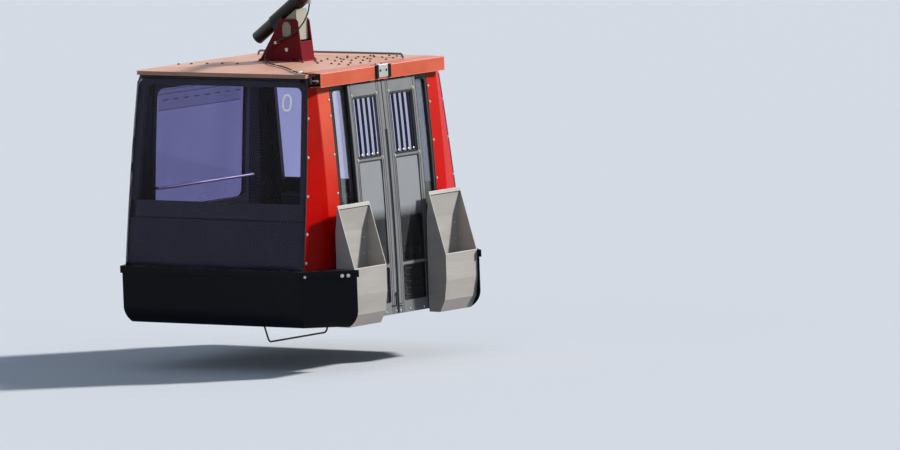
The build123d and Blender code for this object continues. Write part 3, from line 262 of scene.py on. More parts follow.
def tinted_glass(name, tint, film, mirror, film_low=0.0, film_high=0.06, reflection_fade=None):
    """Tinted pane: it filters what lies behind it, mirrors more at a glancing angle and carries a streaky
    film of grime. reflection_fade gives two heights, between which a painted reflection in the film's colour
    comes in, and its amount. A pane is a closed solid, so its tint counts twice."""
    made, tree, where = blank(name)
    clear = node(tree, "ShaderNodeBsdfTransparent", {"Color": tint})
    waves = noise(tree, where, 2.5, 2)
    ripple = node(tree, "ShaderNodeBump", {"Height": waves, "Distance": 0.002, "Strength": 0.35}).outputs[0]
    mirrored = {"Color": (1, 1, 1, 1), "Roughness": 0.03, "Normal": ripple}
    sheen = node(tree, "ShaderNodeBsdfGlossy", mirrored)
    glance = node(tree, "ShaderNodeLayerWeight", {"Blend": 0.5}).outputs["Facing"]
    shine = remap(tree, math_node(tree, "POWER", glance, 5.0), 0.0, 1.0, mirror, 1.0)
    both = node(tree, "ShaderNodeMixShader", {0: shine, 1: clear.outputs[0], 2: sheen.outputs[0]})
    grime_and_reflection = node(tree, "ShaderNodeBsdfDiffuse", {"Color": film})
    streaks = noise(tree, where, 5, 6, (1, 1, 0.25))
    amount = remap(tree, streaks, 0.35, 0.75, film_low, film_high)
    # Painted reflection: above a height the grey film covers more of the pane, standing in for mirrored sky
    # light.
    if reflection_fade:
        low, high, reflection_most = reflection_fade
        painted_reflection = remap(tree, axis(tree, where, "Z"), BELT + low, BELT + high, 0.0, reflection_most)
        amount = math_node(tree, "ADD", amount, painted_reflection)
    final = node(tree, "ShaderNodeMixShader", {0: amount, 1: both.outputs[0], 2: grime_and_reflection.outputs[0]})
    node(tree, "ShaderNodeOutputMaterial", {"Surface": final.outputs[0]})
    return made


# Materials: two close colours each, and where the photograph shows them what lies on top
DUST = rgb(120, 108, 98)
STEEL = rgb(150, 148, 144)
LINING = rgb(34, 33, 40)
MATERIALS = {
    "dark_glass": tinted_glass(
        "dark_glass", (0.80, 0.795, 0.92, 1), rgb(40, 38, 40), 0.006, film_high=0.04
    ),
    "clear_glass": tinted_glass(
        "clear_glass", (0.535, 0.52, 0.67, 1), rgb(120, 122, 130), 0.03, film_high=0.04
    ),
    "strip_glass": tinted_glass(
        "strip_glass", (0.98, 0.975, 0.985, 1), rgb(150, 156, 166), 0.10, film_high=0.10
    ),
    "hazy_glass": tinted_glass(
        "hazy_glass", (0.80, 0.81, 0.83, 1), rgb(126, 130, 128), 0.05, film_low=0.35, film_high=0.6
    ),
    "door_glass": tinted_glass(
        "door_glass",
        (0.50, 0.51, 0.54, 1),
        rgb(176, 177, 178),
        0.03,
        film_high=0.06,
        # painted reflection: the grey film comes in between 0.33 m and 0.43 m above the belt and covers 82 %
        # of the pane above
        reflection_fade=(0.33, 0.43, 0.82),
    ),
    "notice_film": tinted_glass(
        "notice_film", (0.80, 0.80, 0.82, 1), rgb(190, 188, 204), 0.03, film_low=0.1, film_high=0.2
    ),
    "black_frame": coated(
        "black_frame", rgb(15, 15, 18), rgb(23, 22, 26), (0.45, 0.6), grain=(25, 0.0003), dust=DUST
    ),
    "black_print": coated("black_print", rgb(13, 13, 14), rgb(19, 18, 20), (0.3, 0.45), grain=(6, 0.0002)),
    "red_panel": coated(
        "red_panel",
        rgb(206, 4, 2),
        rgb(226, 10, 4),
        (0.2, 0.3),
        grain=(9, 0.0010),
        patch=1.6,
        specular=0.08,
        wear_and_highlight=rgb(120, 20, 14),
        lining=LINING,
        # painted sheen: the red lightens towards this colour on its upper part, standing in for reflected sky
        # light
        painted_sheen=(0.4, 1.35, rgb(252, 112, 84)),
    ),
    "roof_paint": coated(
        "roof_paint",
        rgb(224, 162, 136),
        rgb(236, 184, 158),
        (0.4, 0.6),
        grain=(40, 0.0006),
        patch=1.5,
        wear_and_highlight=rgb(214, 128, 104),
        wear_and_highlight_radius=0.012,
        lining=LINING,
    ),
    "header_paint": coated(
        "header_paint",
        rgb(222, 84, 46),
        rgb(232, 104, 62),
        (0.3, 0.42),
        coat=0.1,
        # lighter edges: a painted highlight along the header's edges
        wear_and_highlight=rgb(255, 196, 160),
        wear_and_highlight_radius=0.01,
    ),
    "bright_metal": coated(
        "bright_metal", rgb(206, 204, 198), rgb(180, 178, 172), (0.25, 0.45), metallic=0.75
    ),
    "black_plastic": coated(
        "black_plastic",
        rgb(8, 11, 18),
        rgb(13, 17, 25),
        (0.45, 0.6),
        grain=(160, 0.0004),
        specular=0.12,
        dust=DUST,
    ),
    "aluminium_sheet": coated(
        "aluminium_sheet",
        rgb(196, 189, 180),
        rgb(184, 178, 170),
        (0.42, 0.6),
        grain=(30, 0.0003),
        patch=2.0,
        specular=0.35,
        stretch=(1, 1, 6),
        # lighter edges: a painted highlight along the rims and folds of the sheet
        wear_and_highlight=rgb(236, 234, 228),
        wear_and_highlight_radius=0.005,
    ),
    "aluminium_profile": coated(
        "aluminium_profile", rgb(141, 141, 140), rgb(126, 127, 127), (0.32, 0.45), metallic=0.15
    ),
    "black_bars": coated("black_bars", rgb(16, 16, 18), rgb(24, 24, 27), (0.25, 0.4)),
    "black_rubber": coated(
        "black_rubber", rgb(13, 13, 14), rgb(22, 22, 23), (0.6, 0.8), grain=(220, 0.0005)
    ),
    "floor_metal": coated(
        "floor_metal", rgb(90, 90, 92), rgb(76, 75, 74), (0.5, 0.7), metallic=0.4, dust=DUST
    ),
    "loop_steel": coated("loop_steel", rgb(118, 116, 98), rgb(96, 88, 70), (0.4, 0.65), metallic=0.5),
    "bench_plastic": coated(
        "bench_plastic", rgb(50, 50, 56), rgb(60, 60, 66), (0.35, 0.5), grain=(200, 0.0004)
    ),
    "bench_metal": coated("bench_metal", rgb(38, 38, 42), rgb(48, 47, 50), (0.45, 0.6)),
    "hanger_paint": coated(
        "hanger_paint",
        rgb(128, 4, 26),
        rgb(106, 3, 20),
        (0.3, 0.45),
        specular=0.15,
        wear_and_highlight=rgb(150, 90, 84),
        dust=DUST,
    ),
    "arm_paint": coated(
        "arm_paint",
        rgb(104, 6, 24),
        rgb(86, 5, 20),
        (0.28, 0.42),
        coat=0.1,
        wear_and_highlight=rgb(150, 90, 84),
        dust=DUST,
        # near black on the -X side of this place: painted shade on the arm's lower end
        shaded_end=(-0.118, rgb(13, 15, 19)),
    ),
    "collar_paint": coated(
        "collar_paint", rgb(14, 16, 20), rgb(22, 24, 28), (0.35, 0.5), specular=0.3, wear_and_highlight=rgb(84, 84, 84)
    ),
    "bearing_block": coated(
        "bearing_block", rgb(194, 194, 178), rgb(172, 170, 152), (0.5, 0.7), wear_and_highlight=rgb(120, 112, 96)
    ),
    "grip_steel": coated(
        "grip_steel",
        rgb(128, 130, 132),
        rgb(110, 112, 114),
        (0.4, 0.55),
        metallic=0.5,
        wear_and_highlight=STEEL,
        dust=DUST,
    ),
    "jaw_iron": coated("jaw_iron", rgb(84, 82, 80), rgb(70, 66, 62), (0.4, 0.6), metallic=0.7, wear_and_highlight=STEEL),
    "spring_steel": coated("spring_steel", rgb(120, 122, 126), rgb(98, 98, 100), (0.3, 0.45), metallic=0.8),
    "wheel_rubber": coated(
        "wheel_rubber", rgb(28, 28, 29), rgb(42, 41, 40), (0.6, 0.8), grain=(150, 0.0006)
    ),
    "white_film": coated("white_film", rgb(236, 238, 244), rgb(222, 224, 232), (0.3, 0.45), metallic=0.6),
    "rail_coat": coated("rail_coat", rgb(255, 236, 240), rgb(244, 222, 228), (0.16, 0.24), metallic=0.8),
    "kick_plastic": coated("kick_plastic", rgb(17, 18, 21), rgb(26, 27, 31), (0.16, 0.28), specular=0.7),
    "dark_steel": coated("dark_steel", rgb(46, 42, 44), rgb(64, 58, 56), (0.4, 0.6), metallic=0.5),
}
SLOT_OF = {entry["node"]: entry["material_slot"] for entry in frame["record"]["subparts"]}
OWN_FINISH = {
    "handrail": "rail_coat",
    "hanger_arm": "arm_paint",
    "near_side_glass": "strip_glass",
    "far_side_glass": "hazy_glass",
    "near_door_glass": "door_glass",
    "far_door_glass": "door_glass",
    "near_door_kick": "kick_plastic",
    "far_door_kick": "kick_plastic",
}
for name, thing in NODES.items():
    thing.data.materials.clear()
    thing.data.materials.append(MATERIALS[OWN_FINISH.get(name, SLOT_OF[name])])


# Light: a broad sun from the door side and above, soft blue light all round that looks pale where it is
# seen, and a pale floor below, which lights the cabin less than it looks and is open from underneath
SUN_FROM, SUN_POWER, SUN_SPREAD = Vector((1.0, 1.0, 0.9)), 3.75, math.radians(6)
SOFT_LIGHT, PALE_SKY = ((0.58, 0.75, 1.0, 1), 0.27), ((0.92, 0.94, 0.96, 1), 0.9)  # colour, strength
FLOOR_LOOK, FLOOR_LOOK_2, FLOOR_LIGHT = rgb(230, 232, 235), rgb(232, 234, 237), rgb(92, 93, 98)
scene = bpy.context.scene
scene.view_settings.view_transform = "Standard"
sun_data = bpy.data.lights.new("sun", "SUN")
sun_data.energy = SUN_POWER
sun_data.angle = SUN_SPREAD
sun = bpy.data.objects.new("sun", sun_data)
scene.collection.objects.link(sun)
sun.rotation_euler = SUN_FROM.to_track_quat("Z", "Y").to_euler()

world = bpy.data.worlds.new("world")
world.use_nodes = True
scene.world = world
tree = world.node_tree
tree.nodes.clear()
soft = node(tree, "ShaderNodeBackground", dict(zip(("Color", "Strength"), SOFT_LIGHT)))
pale = node(tree, "ShaderNodeBackground", dict(zip(("Color", "Strength"), PALE_SKY)))
light = node(tree, "ShaderNodeMixShader", {0: seen_mask(tree), 1: soft.outputs[0], 2: pale.outputs[0]})
node(tree, "ShaderNodeOutputWorld", {"Surface": light.outputs[0]})

FLOOR_HEIGHT = BELT - 0.85
FLOOR_REACH = 150.0
mesh = bpy.data.meshes.new("floor")
around = ((-1, -1), (1, -1), (1, 1), (-1, 1))
corners = [(x * FLOOR_REACH, y * FLOOR_REACH, FLOOR_HEIGHT) for x, y in around]
mesh.from_pydata(corners, [], [(0, 1, 2, 3)])
floor = bpy.data.objects.new("floor", mesh)
scene.collection.objects.link(floor)
made, tree, where = blank("floor_pale")
base = mix(tree, remap(tree, noise(tree, where, 40, 4), 0.3, 0.7), FLOOR_LOOK, FLOOR_LOOK_2)
base = mix(tree, seen_mask(tree), FLOOR_LIGHT, base)
matt = {"Base Color": base, "Roughness": 0.9, "Specular IOR Level": 0.2}
shader = node(tree, "ShaderNodeBsdfPrincipled", matt)
below = node(tree, "ShaderNodeNewGeometry").outputs["Backfacing"]
open_floor = node(tree, "ShaderNodeBsdfTransparent")
shader = node(tree, "ShaderNodeMixShader", {0: below, 1: shader.outputs[0], 2: open_floor.outputs[0]})
node(tree, "ShaderNodeOutputMaterial", {"Surface": shader.outputs[0]})
mesh.materials.append(made)


def wall_x(height):
    """Half width of the cabin over the side walls."""
    return SIDE_REACH - (SIDE_RADIUS - math.sqrt(SIDE_RADIUS**2 - (height - SIDE_WIDEST) ** 2))


def corner_x(height):
    """Half width of an end pane."""
    return CORNER_REACH - (CORNER_RADIUS - math.sqrt(CORNER_RADIUS**2 - height**2))


def end_y(height):
    """Half length of the cabin over the end panes."""
    return END_REACH - height * math.tan(END_LEAN)


def roof_height(x, y):
    """Height of the crowned roof over a point."""
    share = max(abs(x) / (wall_x(WALL_TOP) + 0.01), abs(y) / (end_y(WALL_TOP) + 0.01))
    return WALL_TOP + ROOF_CROWN - 0.023 * share**2


def on_roof(x, y):
    return Vector((x, y, BELT + roof_height(x, y)))


def on_wall(y, height, out=0.0, side=1):
    """Point on the side wall and the direction that it faces."""
    slope = (wall_x(height + 0.01) - wall_x(height - 0.01)) / 0.02
    facing = Vector((side, 0, -slope)).normalized()
    return Vector((side * wall_x(height), y, BELT + height)) + facing * out, facing


def on_end(x, height, out=0.0, end=-1):
    """Point on an end pane's outer face and the direction that it faces."""
    facing = Vector((0, end * math.cos(END_LEAN), math.sin(END_LEAN)))
    return Vector((x, end * end_y(height), BELT + height)) + facing * out, facing


def on_corner(share, height, side=1, end=-1, out=0.0):
    """Point on a corner panel, its share from 0 at the end pane to 1 at the fold and 2 at the side wall."""

    def place(s, h):
        start = Vector((corner_x(h) + 0.002, end_y(h) - PANEL_BACK, h))
        ridge = Vector((wall_x(h) - RIDGE_STEP, RIDGE_Y, h))
        last = Vector((wall_x(h), PANEL_Y, h))
        point = start.lerp(ridge, s) if s <= 1 else ridge.lerp(last, s - 1)
        return Vector((side * point.x, end * point.y, BELT + h))

    here = place(share, height)
    along = place(min(share + 0.01, 2), height) - place(share - 0.01, height)
    up = place(share, height + 0.01) - place(share, height - 0.01)
    facing = along.cross(up).normalized()
    if facing.x * side < 0:
        facing.negate()
    return here + facing * out, facing


# Mesh kit
def frame_on(facing):
    """Two directions square to the one that a thing faces: across and up."""
    across = UPWARD.cross(facing)
    if across.length < 1e-3:
        across = Vector((0, 1, 0)).cross(facing)
    across.normalize()
    return across, facing.cross(across)


def lathe(bm, profile, point, facing, segments=20):
    """Turned shape of (radius, height) pairs on a point."""
    across, up = frame_on(facing)
    rings = []
    for radius, height in profile:
        if radius == 0:
            rings.append([bm.verts.new(point + facing * height)])
            continue
        ring = []
        for i in range(segments):
            angle = 2 * math.pi * i / segments
            offset = across * (radius * math.cos(angle)) + up * (radius * math.sin(angle))
            ring.append(bm.verts.new(point + offset + facing * height))
        rings.append(ring)
    for low, high in zip(rings, rings[1:]):
        for i in range(segments):
            j = (i + 1) % segments
            if len(low) == 1:
                bm.faces.new((low[0], high[i], high[j]))
            elif len(high) == 1:
                bm.faces.new((low[i], low[j], high[0]))
            else:
                bm.faces.new((low[i], low[j], high[j], high[i]))


def pan_head(bm, point, facing, radius, height):
    """Round screw head with a hexagon socket, on a thin washer."""
    lathe(bm, ((radius * 1.3, -0.001), (radius * 1.3, 0.0012), (radius * 0.9, 0.0016)), point, facing)
    outline = ((1.0, 0.0), (1.0, 0.45), (0.86, 0.82), (0.62, 1.0), (0.42, 1.0))
    lathe(bm, [(radius * r, 0.001 + height * h) for r, h in outline], point, facing)
    socket = ((0.42, 1.0), (0.38, 0.4), (0, 0.4))
    lathe(bm, [(radius * r, 0.001 + height * h) for r, h in socket], point, facing, 6)


def hex_head(bm, point, facing, radius, height):
    """Hexagon head with a chamfered top, on a washer."""
    lathe(bm, ((radius * 1.35, -0.001), (radius * 1.35, 0.0016), (radius * 0.9, 0.002)), point, facing)
    outline = ((radius, 0.001), (radius, height * 0.85), (radius * 0.86, height), (0, height))
    lathe(bm, outline, point, facing, 6)


def strip(bm, path, width, height, closed=False):
    """Rounded strip laid along (point, facing) pairs."""
    half = ((0.5, -0.25), (0.5, 0.35), (0.36, 0.85), (0.12, 1.0))
    outline = [(-s, h) for s, h in half] + list(reversed(half))
    rings = []
    for i, (point, facing) in enumerate(path):
        before = path[i - 1][0] if i or closed else point
        after = path[(i + 1) % len(path)][0] if i + 1 < len(path) or closed else point
        side = (after - before).cross(facing).normalized()
        rings.append([bm.verts.new(point + side * (s * width) + facing * (h * height)) for s, h in outline])
    pairs = list(zip(rings, rings[1:] + rings[:1])) if closed else list(zip(rings, rings[1:]))
    for low, high in pairs:
        for k in range(len(outline)):
            n = (k + 1) % len(outline)
            bm.faces.new((low[k], low[n], high[n], high[k]))
    if not closed:
        bm.faces.new(rings[0])
        bm.faces.new(reversed(rings[-1]))


LOOP_STEP = 0.06  # length to which a loop's straight sides are cut up, so that they follow a bow


def rounded_loop(low_a, high_a, low_b, high_b, radius):
    """Points of a rectangle with round corners, in two flat coordinates."""
    corners = (
        (high_a - radius, high_b - radius, 0),
        (low_a + radius, high_b - radius, 90),
        (low_a + radius, low_b + radius, 180),
        (high_a - radius, low_b + radius, 270),
    )
    loop = []
    for a, b, start in corners:
        for i in range(7):
            angle = math.radians(start + 15 * i)
            point = (a + radius * math.cos(angle), b + radius * math.sin(angle))
            if loop:
                pieces = int(math.dist(loop[-1], point) / LOOP_STEP)
                for k in range(1, pieces):
                    (from_a, from_b), share = loop[-1], k / pieces
                    a_now = from_a + (point[0] - from_a) * share
                    loop.append((a_now, from_b + (point[1] - from_b) * share))
            loop.append(point)
    return loop


SHARP = math.radians(38)  # edges that turn by more stay sharp


def corner_label(side, end):
    return f"{'near' if end < 0 else 'far'}_{'door' if side > 0 else 'back'}"


def add_piece(name, bm, body, material):
    """Makes a shown piece of a mesh, with one of the materials, riding on a body."""
    bmesh.ops.recalc_face_normals(bm, faces=bm.faces)
    data = bpy.data.meshes.new(name)
    bm.to_mesh(data)
    bm.free()
    data.materials.append(MATERIALS[material])
    made = bpy.data.objects.new(name, data)
    scene.collection.objects.link(made)
    for polygon in data.polygons:
        polygon.use_smooth = True
    data.set_sharp_from_angle(angle=SHARP)
    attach(made, body)
    return made


# Screws of the corner panels: a row at the end pane's edge and one at the side wall
PANEL_SCREW = (0.0085, 0.006)  # radius, height
SCREW_ROWS = (0.10, 1.86)  # shares of the way round the panel
TOP_SCREW = 1.355  # only the side wall's row has one so high
for side, end in EVERY_CORNER:
    bm = bmesh.new()
    for height in (TOP_SCREW, 1.225, 0.912, 0.599, 0.294, 0.063):
        if height < TOP_SCREW:
            pan_head(bm, *on_corner(SCREW_ROWS[0], height, side, end), *PANEL_SCREW)
        pan_head(bm, *on_corner(SCREW_ROWS[1], height, side, end), *PANEL_SCREW)
    add_piece(f"{corner_label(side, end)}_panel_screws", bm, "cabin", "bright_metal")

# Rubber seams: beside the end panes, between wall and corner panels, round the fixed glass and back window.
# They start a little under the surface, and each has a width and a height
SUNK = -0.001
PANE_SEAM, WALL_SEAM, GLASS_SEAL, WINDOW_SEAL = (0.012, 0.005), (0.012, 0.004), (0.014, 0.004), (0.018, 0.005)
SEAM_ROWS = (0.02, 1.99)  # shares of the way round the panel
SEAM_FOOT = 0.012
SEAM_TOPS = {1: 1.44, -1: 1.49}  # under the door header, and at the back
SEAM_STEPS = 16
for side, end in EVERY_CORNER:
    bm = bmesh.new()
    heights = [SEAM_FOOT + (SEAM_TOPS[side] - SEAM_FOOT) * i / SEAM_STEPS for i in range(SEAM_STEPS + 1)]
    strip(bm, [on_corner(SEAM_ROWS[0], h, side, end, SUNK) for h in heights], *PANE_SEAM)
    strip(bm, [on_corner(SEAM_ROWS[1], h, side, end, SUNK) for h in heights], *WALL_SEAM)
    add_piece(f"{corner_label(side, end)}_panel_seams", bm, "cabin", "black_rubber")
SIDE_GLASS, GLASS_CORNER = (0.466, 0.626, 0.066, 1.429), 0.034  # edges along the cabin, then heights
for end, label in ENDS:
    bm = bmesh.new()
    low_y, high_y = sorted((end * SIDE_GLASS[0], end * SIDE_GLASS[1]))
    loop = rounded_loop(low_y, high_y, *SIDE_GLASS[2:], GLASS_CORNER)
    strip(bm, [on_wall(y, h, SUNK) for y, h in loop], *GLASS_SEAL, closed=True)
    add_piece(f"{label}_side_glass_seal", bm, "cabin", "black_rubber")
BACK_WINDOW, WINDOW_CORNER = (-0.603, 0.603, 0.401, 1.404), 0.073
bm = bmesh.new()
loop = rounded_loop(*BACK_WINDOW, WINDOW_CORNER)
strip(bm, [on_wall(y, h, SUNK, -1) for y, h in loop], *WINDOW_SEAL, closed=True)
add_piece("back_window_seal", bm, "cabin", "black_rubber")

# Rubber bead between the roof and the end panes
BEAD_INSET = (0.055, 0.030, 0.012)  # from the corner, from the pane's face, below the wall's top
BEAD_STEPS, ROOF_BEAD = 24, (0.020, 0.020)
for end, label in ENDS:
    bm = bmesh.new()
    bead = []
    half = corner_x(WALL_TOP) - BEAD_INSET[0]
    for i in range(BEAD_STEPS + 1):
        x = -half + 2 * half * i / BEAD_STEPS
        point = Vector((x, end * (end_y(WALL_TOP) - BEAD_INSET[1]), BELT + WALL_TOP - BEAD_INSET[2]))
        bead.append((point, Vector((0, end, 0))))
    strip(bm, bead, *ROOF_BEAD)
    add_piece(f"{label}_roof_bead", bm, "cabin", "black_rubber")

# Roof: the row of fixings on the near half, and the loose field of studs between the bracket and the header
ROOF_FIXING, ROOF_STUD = (0.011, 0.008), (0.009, 0.009)  # radius, height
FIXINGS_Y = -0.335
RAIL_Y, RAIL_ROOM = 0.58, 0.03  # the roof rail's line, kept free of studs
bm = bmesh.new()
for x in (-0.87, -0.737, -0.573, -0.416, -0.259):
    pan_head(bm, on_roof(x, FIXINGS_Y), UPWARD, *ROOF_FIXING)
add_piece("roof_fixings", bm, "cabin", "dark_steel")
bm = bmesh.new()
scatter = random.Random(7)
for i in range(6):
    for j in range(6):
        x = 0.27 + 0.085 * i + scatter.uniform(-0.03, 0.03)
        y = -0.10 + 0.15 * j + scatter.uniform(-0.05, 0.05)
        if abs(y - RAIL_Y) > RAIL_ROOM:
            pan_head(bm, on_roof(x, y), UPWARD, *ROOF_STUD)
add_piece("roof_studs", bm, "cabin", "dark_steel")

# Door header: two bolts on top and two in front of its centre block
SADDLE_BOLT = (0.008, 0.005)  # radius, height
BOLT_INSET = 0.050  # from the block's front top edge
bm = bmesh.new()
header_front, header_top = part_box("header_saddle")[1][0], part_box("header_saddle")[1][2]
for y in (-0.040, 0.040):
    pan_head(bm, Vector((header_front - BOLT_INSET, y, header_top)), UPWARD, *SADDLE_BOLT)
    pan_head(bm, Vector((header_front, y, header_top - BOLT_INSET)), ALONG_X, *SADDLE_BOLT)
add_piece("saddle_bolts", bm, "cabin", "dark_steel")

# Doors: screws along the foot, bolts at the corners of the ventilation light, caps at the feet of its bars,
# and rubber beads round the openings and along the meeting edge. Distances run from the meeting edge
LEAF_SCREW, LEAF_BOLT = (0.0075, 0.005), (0.0095, 0.008)  # radius, height
BAR_CAP = ((0.009, -0.012), (0.009, 0.002), (0.006, 0.004), (0, 0.004))
FIRST_BAR, BAR_PITCH = 0.1435, 0.068
OPENING_SIDES = (0.0935, 0.4015)
OPENING_HEIGHTS = ((0.848, 1.352), (-0.032, 0.824), (-0.347, -0.060))  # vent, pane, kick panel
OPENING_CORNER, OPENING_BEAD = 0.014, (0.007, 0.003)
MEETING_FOOT, MEETING_STEP, MEETING_BEAD = -0.440, 0.05, (0.013, 0.0045)
for end, label in ENDS:
    body = f"{label}_door"
    bm = bmesh.new()
    for y in (0.026, 0.161, 0.350):
        pan_head(bm, *on_wall(end * y, -0.424, LEAF_FACE), *LEAF_SCREW)
    for y in (0.083, 0.412):
        for height in (0.838, 1.362):
            hex_head(bm, *on_wall(end * y, height, LEAF_FACE), *LEAF_BOLT)
    for i in range(4):
        point, facing = on_wall(end * (FIRST_BAR + BAR_PITCH * i), 0.876, LEAF_FACE - 0.002)
        lathe(bm, BAR_CAP, point, facing, 12)
    add_piece(f"{label}_door_screws", bm, body, "bright_metal")
    bm = bmesh.new()
    low_y, high_y = sorted(end * y for y in OPENING_SIDES)
    for low, high in OPENING_HEIGHTS:
        loop = rounded_loop(low_y, high_y, low, high, OPENING_CORNER)
        strip(bm, [on_wall(y, h, LEAF_FACE + SUNK) for y, h in loop], *OPENING_BEAD, closed=True)
    heights = [MEETING_FOOT + MEETING_STEP * i for i in range(31)]
    strip(bm, [on_wall(end * 0.0095, h, LEAF_FACE + SUNK) for h in heights], *MEETING_BEAD)
    add_piece(f"{label}_door_beads", bm, body, "black_rubber")

# Ski baskets: rivets on the back plate, which leans a little
RIVET = (0.007, 0.004)  # radius, height
RIVET_PLACES = ((0.225, 0.0205), (0.09, 0.0188), (-0.08, 0.0168))  # height, distance beyond the leaves
for end, label in ENDS:
    low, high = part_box(f"{label}_ski_basket")
    bm = bmesh.new()
    for y in (low[1] + 0.05, high[1] - 0.05):
        for height, out in RIVET_PLACES:
            pan_head(bm, Vector((SIDE_REACH + LEAF_FACE + out, y, BELT + height)), ALONG_X, *RIVET)
    add_piece(f"{label}_basket_rivets", bm, "cabin", "bright_metal")

# Belt flange: two bolts and a screw at each wing, in the photographed places
WING_END = Vector((SIDE_REACH + 0.317, 0.769, 0))
FLANGE_BOLTS = ((0.037, 0.008), (0.340, 0.011), (0.390, 0.011))  # distance along the wing, radius
FLANGE_DEPTH, FLANGE_OUT = 0.042, 0.020  # below the belt, beyond the wing's line
wing_start = Vector((CORNER_REACH, END_REACH + 0.002, 0))
wing_along = (WING_END - wing_start).normalized()
bm = bmesh.new()
out = Vector((-wing_along.y, wing_along.x, 0))
if out.y < 0:
    out.negate()
for end in (-1, 1):
    for along, radius in FLANGE_BOLTS:
        point = wing_start + wing_along * along + out * FLANGE_OUT
        facing = Vector((out.x, end * out.y, 0))
        hex_head(bm, Vector((point.x, end * point.y, BELT - FLANGE_DEPTH)), facing, radius, 0.007)
add_piece("flange_bolts", bm, "cabin", "bright_metal")

# Suspension: bolts of the bracket's base plate, and of its cheeks round the bearing block
BASE_TOP = BELT + WALL_TOP + ROOF_CROWN + 0.011  # the base plate is 11 mm thick
CHEEK_FACE = 0.082
BASE_BOLT, CHEEK_BOLT = (0.012, 0.011), (0.009, 0.008)  # radius, height
bm = bmesh.new()
for x in (-0.200, -0.115, 0.115, 0.200):
    for y in (-0.100, 0.100):
        hex_head(bm, Vector((x, y, BASE_TOP)), UPWARD, *BASE_BOLT)
add_piece("bracket_bolts", bm, "cabin", "dark_steel")
bm = bmesh.new()
for sign in (-1, 1):
    for x, height in ((0.150, 0.250), (0.110, 0.300), (-0.020, 0.285)):
        point = Vector((x, sign * CHEEK_FACE, BASE_TOP + height))
        hex_head(bm, point, Vector((0, sign, 0)), *CHEEK_BOLT)
add_piece("bracket_side_bolts", bm, "cabin", "dark_steel")

# Grip: bolts and ribs of its housing. Places are from the rope's axis
HOUSING_TOP, HOUSING_FRONT, HOUSING_SIDE = 0.112, 0.238, 0.100
TOP_BOLT, FRONT_BOLT, SIDE_BOLT = (0.011, 0.010), (0.010, 0.009), (0.009, 0.008)  # radius, height
RIBS, FIRST_RIB, RIB_PITCH, RIB = 5, 0.100, 0.020, (0.009, 0.006)
bm = bmesh.new()
for y in (-0.075, 0.075):
    for x in (0.040, 0.195):
        hex_head(bm, Vector((x, y, HOUSING_TOP)), UPWARD, *TOP_BOLT)
    for z in (-0.045, 0.045):
        hex_head(bm, Vector((HOUSING_FRONT, y, z)), ALONG_X, *FRONT_BOLT)
for sign in (-1, 1):
    for x, z in ((0.105, 0.070), (0.195, 0.070), (0.105, -0.060), (0.195, -0.060)):
        hex_head(bm, Vector((x, sign * HOUSING_SIDE, z)), Vector((0, sign, 0)), *SIDE_BOLT)
add_piece("grip_bolts", bm, "grip", "dark_steel")
bm = bmesh.new()
for sign in (-1, 1):
    out = Vector((0, sign, 0))
    for i in range(RIBS):
        x = FIRST_RIB + RIB_PITCH * i
        strip(bm, [(Vector((x, sign * HOUSING_SIDE, z)), out) for z in (-0.030, 0.0, 0.035)], *RIB)
add_piece("housing_ribs", bm, "grip", "grip_steel")

# Running wheels: cross ribs on the tread, and hub bolts
WHEEL_X, WHEEL_Y, WHEEL_Z = 0.104, 0.200, 0.060
WHEEL_RADIUS = 0.0750
TREAD_RIBS, TREAD_RIB = 36, (0.006, 0.0002)  # number, then width and height of one
HUB_BOLTS, HUB_RADIUS, HUB_FACE, HUB_BOLT = 6, 0.045, 0.0268, (0.0055, 0.005)


def spoke(i, count):
    """Direction away from a wheel's axle, the i-th of a number of them."""
    angle = 2 * math.pi * i / count
    return Vector((0, math.cos(angle), math.sin(angle)))


for end, label in ENDS:
    centre = Vector((WHEEL_X, end * WHEEL_Y, WHEEL_Z))
    bm = bmesh.new()
    for i in range(TREAD_RIBS):
        out = spoke(i, TREAD_RIBS)
        across = [centre + ALONG_X * x + out * WHEEL_RADIUS for x in (0.006, 0.012, 0.018, 0.024, 0.030)]
        strip(bm, [(point, out) for point in across], *TREAD_RIB)
    add_piece(f"{label}_wheel_tread", bm, f"{label}_wheel", "wheel_rubber")
    bm = bmesh.new()
    for i in range(HUB_BOLTS):
        point = centre + spoke(i, HUB_BOLTS) * HUB_RADIUS + ALONG_X * HUB_FACE
        hex_head(bm, point, ALONG_X, *HUB_BOLT)
    add_piece(f"{label}_wheel_bolts", bm, f"{label}_wheel", "dark_steel")

# Black printed band behind the lower part of each end pane, up to the sill of what can be seen through
BAND = (0.395, 0.540)  # heights
BAND_ROWS, BAND_COLUMNS = 8, 20
BAND_BEHIND, BAND_INSET, BAND_THICK = -0.0515, 0.014, 0.0006  # the first is from the pane's outer face
for end, label in ENDS:
    bm = bmesh.new()
    rows = []
    for j in range(BAND_ROWS + 1):
        height = BAND[0] + (BAND[1] - BAND[0]) * j / BAND_ROWS
        half = corner_x(height) - BAND_INSET
        across = [-half + 2 * half * i / BAND_COLUMNS for i in range(BAND_COLUMNS + 1)]
        rows.append([bm.verts.new(on_end(x, height, BAND_BEHIND, end)[0]) for x in across])
    for low, high in zip(rows, rows[1:]):
        for i in range(BAND_COLUMNS):
            bm.faces.new((low[i], low[i + 1], high[i + 1], high[i]))
    sheet = add_piece(f"{label}_pane_print", bm, "cabin", "black_print")
    sheet.modifiers.new("thickness", "SOLIDIFY").thickness = BAND_THICK

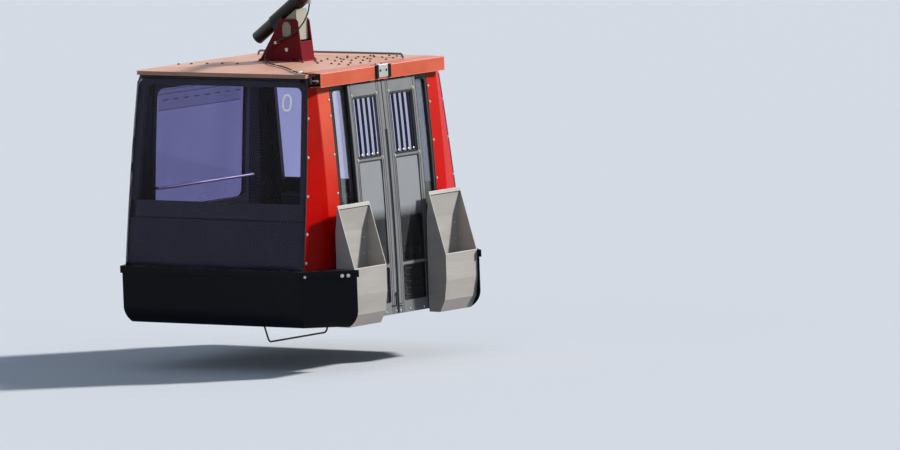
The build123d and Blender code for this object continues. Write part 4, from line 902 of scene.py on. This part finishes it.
# Number on the near end pane: a plain nought of white film
NOUGHT = (0.705, 1.353)  # its middle
NOUGHT_HALF = (0.040, 0.062)
NOUGHT_STEPS, SQUARENESS, NOUGHT_STROKE = 48, 0.8, (0.019, 0.0008)
bm = bmesh.new()
ring = []
for i in range(NOUGHT_STEPS):
    angle = 2 * math.pi * i / NOUGHT_STEPS
    c, s = math.cos(angle), math.sin(angle)
    x = NOUGHT[0] + NOUGHT_HALF[0] * math.copysign(abs(c) ** SQUARENESS, c)
    height = NOUGHT[1] + NOUGHT_HALF[1] * math.copysign(abs(s) ** SQUARENESS, s)
    ring.append(on_end(x, height))
strip(bm, ring, *NOUGHT_STROKE, closed=True)
add_piece("cabin_number", bm, "cabin", "white_film")

# Blank notice on the inside of the back window's top, with ruled lines and a row of dashes
NOTICE = (-0.560, 0.560, 1.216, 1.392)  # edges along the cabin, then heights
NOTICE_COLUMNS, NOTICE_ROWS = 12, 6
NOTICE_IN, PRINT_IN = -0.0106, -0.0112  # from the back wall's outer face
bm = bmesh.new()
grid = []
for i in range(NOTICE_COLUMNS + 1):
    y = NOTICE[0] + (NOTICE[1] - NOTICE[0]) * i / NOTICE_COLUMNS
    for j in range(NOTICE_ROWS + 1):
        height = NOTICE[2] + (NOTICE[3] - NOTICE[2]) * j / NOTICE_ROWS
        grid.append(bm.verts.new(on_wall(y, height, NOTICE_IN, -1)[0]))
for i in range(NOTICE_COLUMNS):
    for j in range(NOTICE_ROWS):
        k = i * (NOTICE_ROWS + 1) + j
        bm.faces.new((grid[k], grid[k + 1], grid[k + NOTICE_ROWS + 2], grid[k + NOTICE_ROWS + 1]))
add_piece("blank_notice", bm, "cabin", "notice_film")


def ruled(bm, places, height, width):
    """Thin line along the notice, that faces into the cabin."""
    path = [on_wall(y, height, PRINT_IN, -1) for y in places]
    strip(bm, [(point, -facing) for point, facing in path], width, 0.0006)


bm = bmesh.new()
line_start, line_length = NOTICE[0] + 0.004, NOTICE[1] - NOTICE[0] - 0.008
for height in (1.218, 1.352, 1.388):
    ruled(bm, [line_start + line_length * i / 20 for i in range(21)], height, 0.004)
for i in range(8):
    ruled(bm, [-0.50 + 0.14 * i + 0.035 * k for k in range(3)], 1.300, 0.006)
add_piece("notice_border", bm, "cabin", "black_frame")

# White gland where the cable meets the roof's edge, over the near end of the door header
GLAND = ((0.015, 0.0), (0.017, 0.004), (0.017, 0.020), (0.014, 0.024), (0.009, 0.024), (0.009, 0.002))
GLAND_PLACE = (0.800, -0.872)
bm = bmesh.new()
lathe(bm, GLAND, on_roof(*GLAND_PLACE), UPWARD)
add_piece("cable_gland", bm, "cabin", "white_film")

# The latch keeper's two screws
bm = bmesh.new()
keeper_low, keeper_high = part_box("latch_keeper")
keeper_middle = (keeper_low[2] + keeper_high[2]) / 2
SCREW_IN, KEEPER_SCREW = 0.008, (0.0035, 0.0015)  # from the keeper's ends, then radius and height
for y in (keeper_low[1] + SCREW_IN, keeper_high[1] - SCREW_IN):
    pan_head(bm, Vector((keeper_high[0], y, keeper_middle)), ALONG_X, *KEEPER_SCREW)
add_piece("keeper_screws", bm, "far_door", "bright_metal")
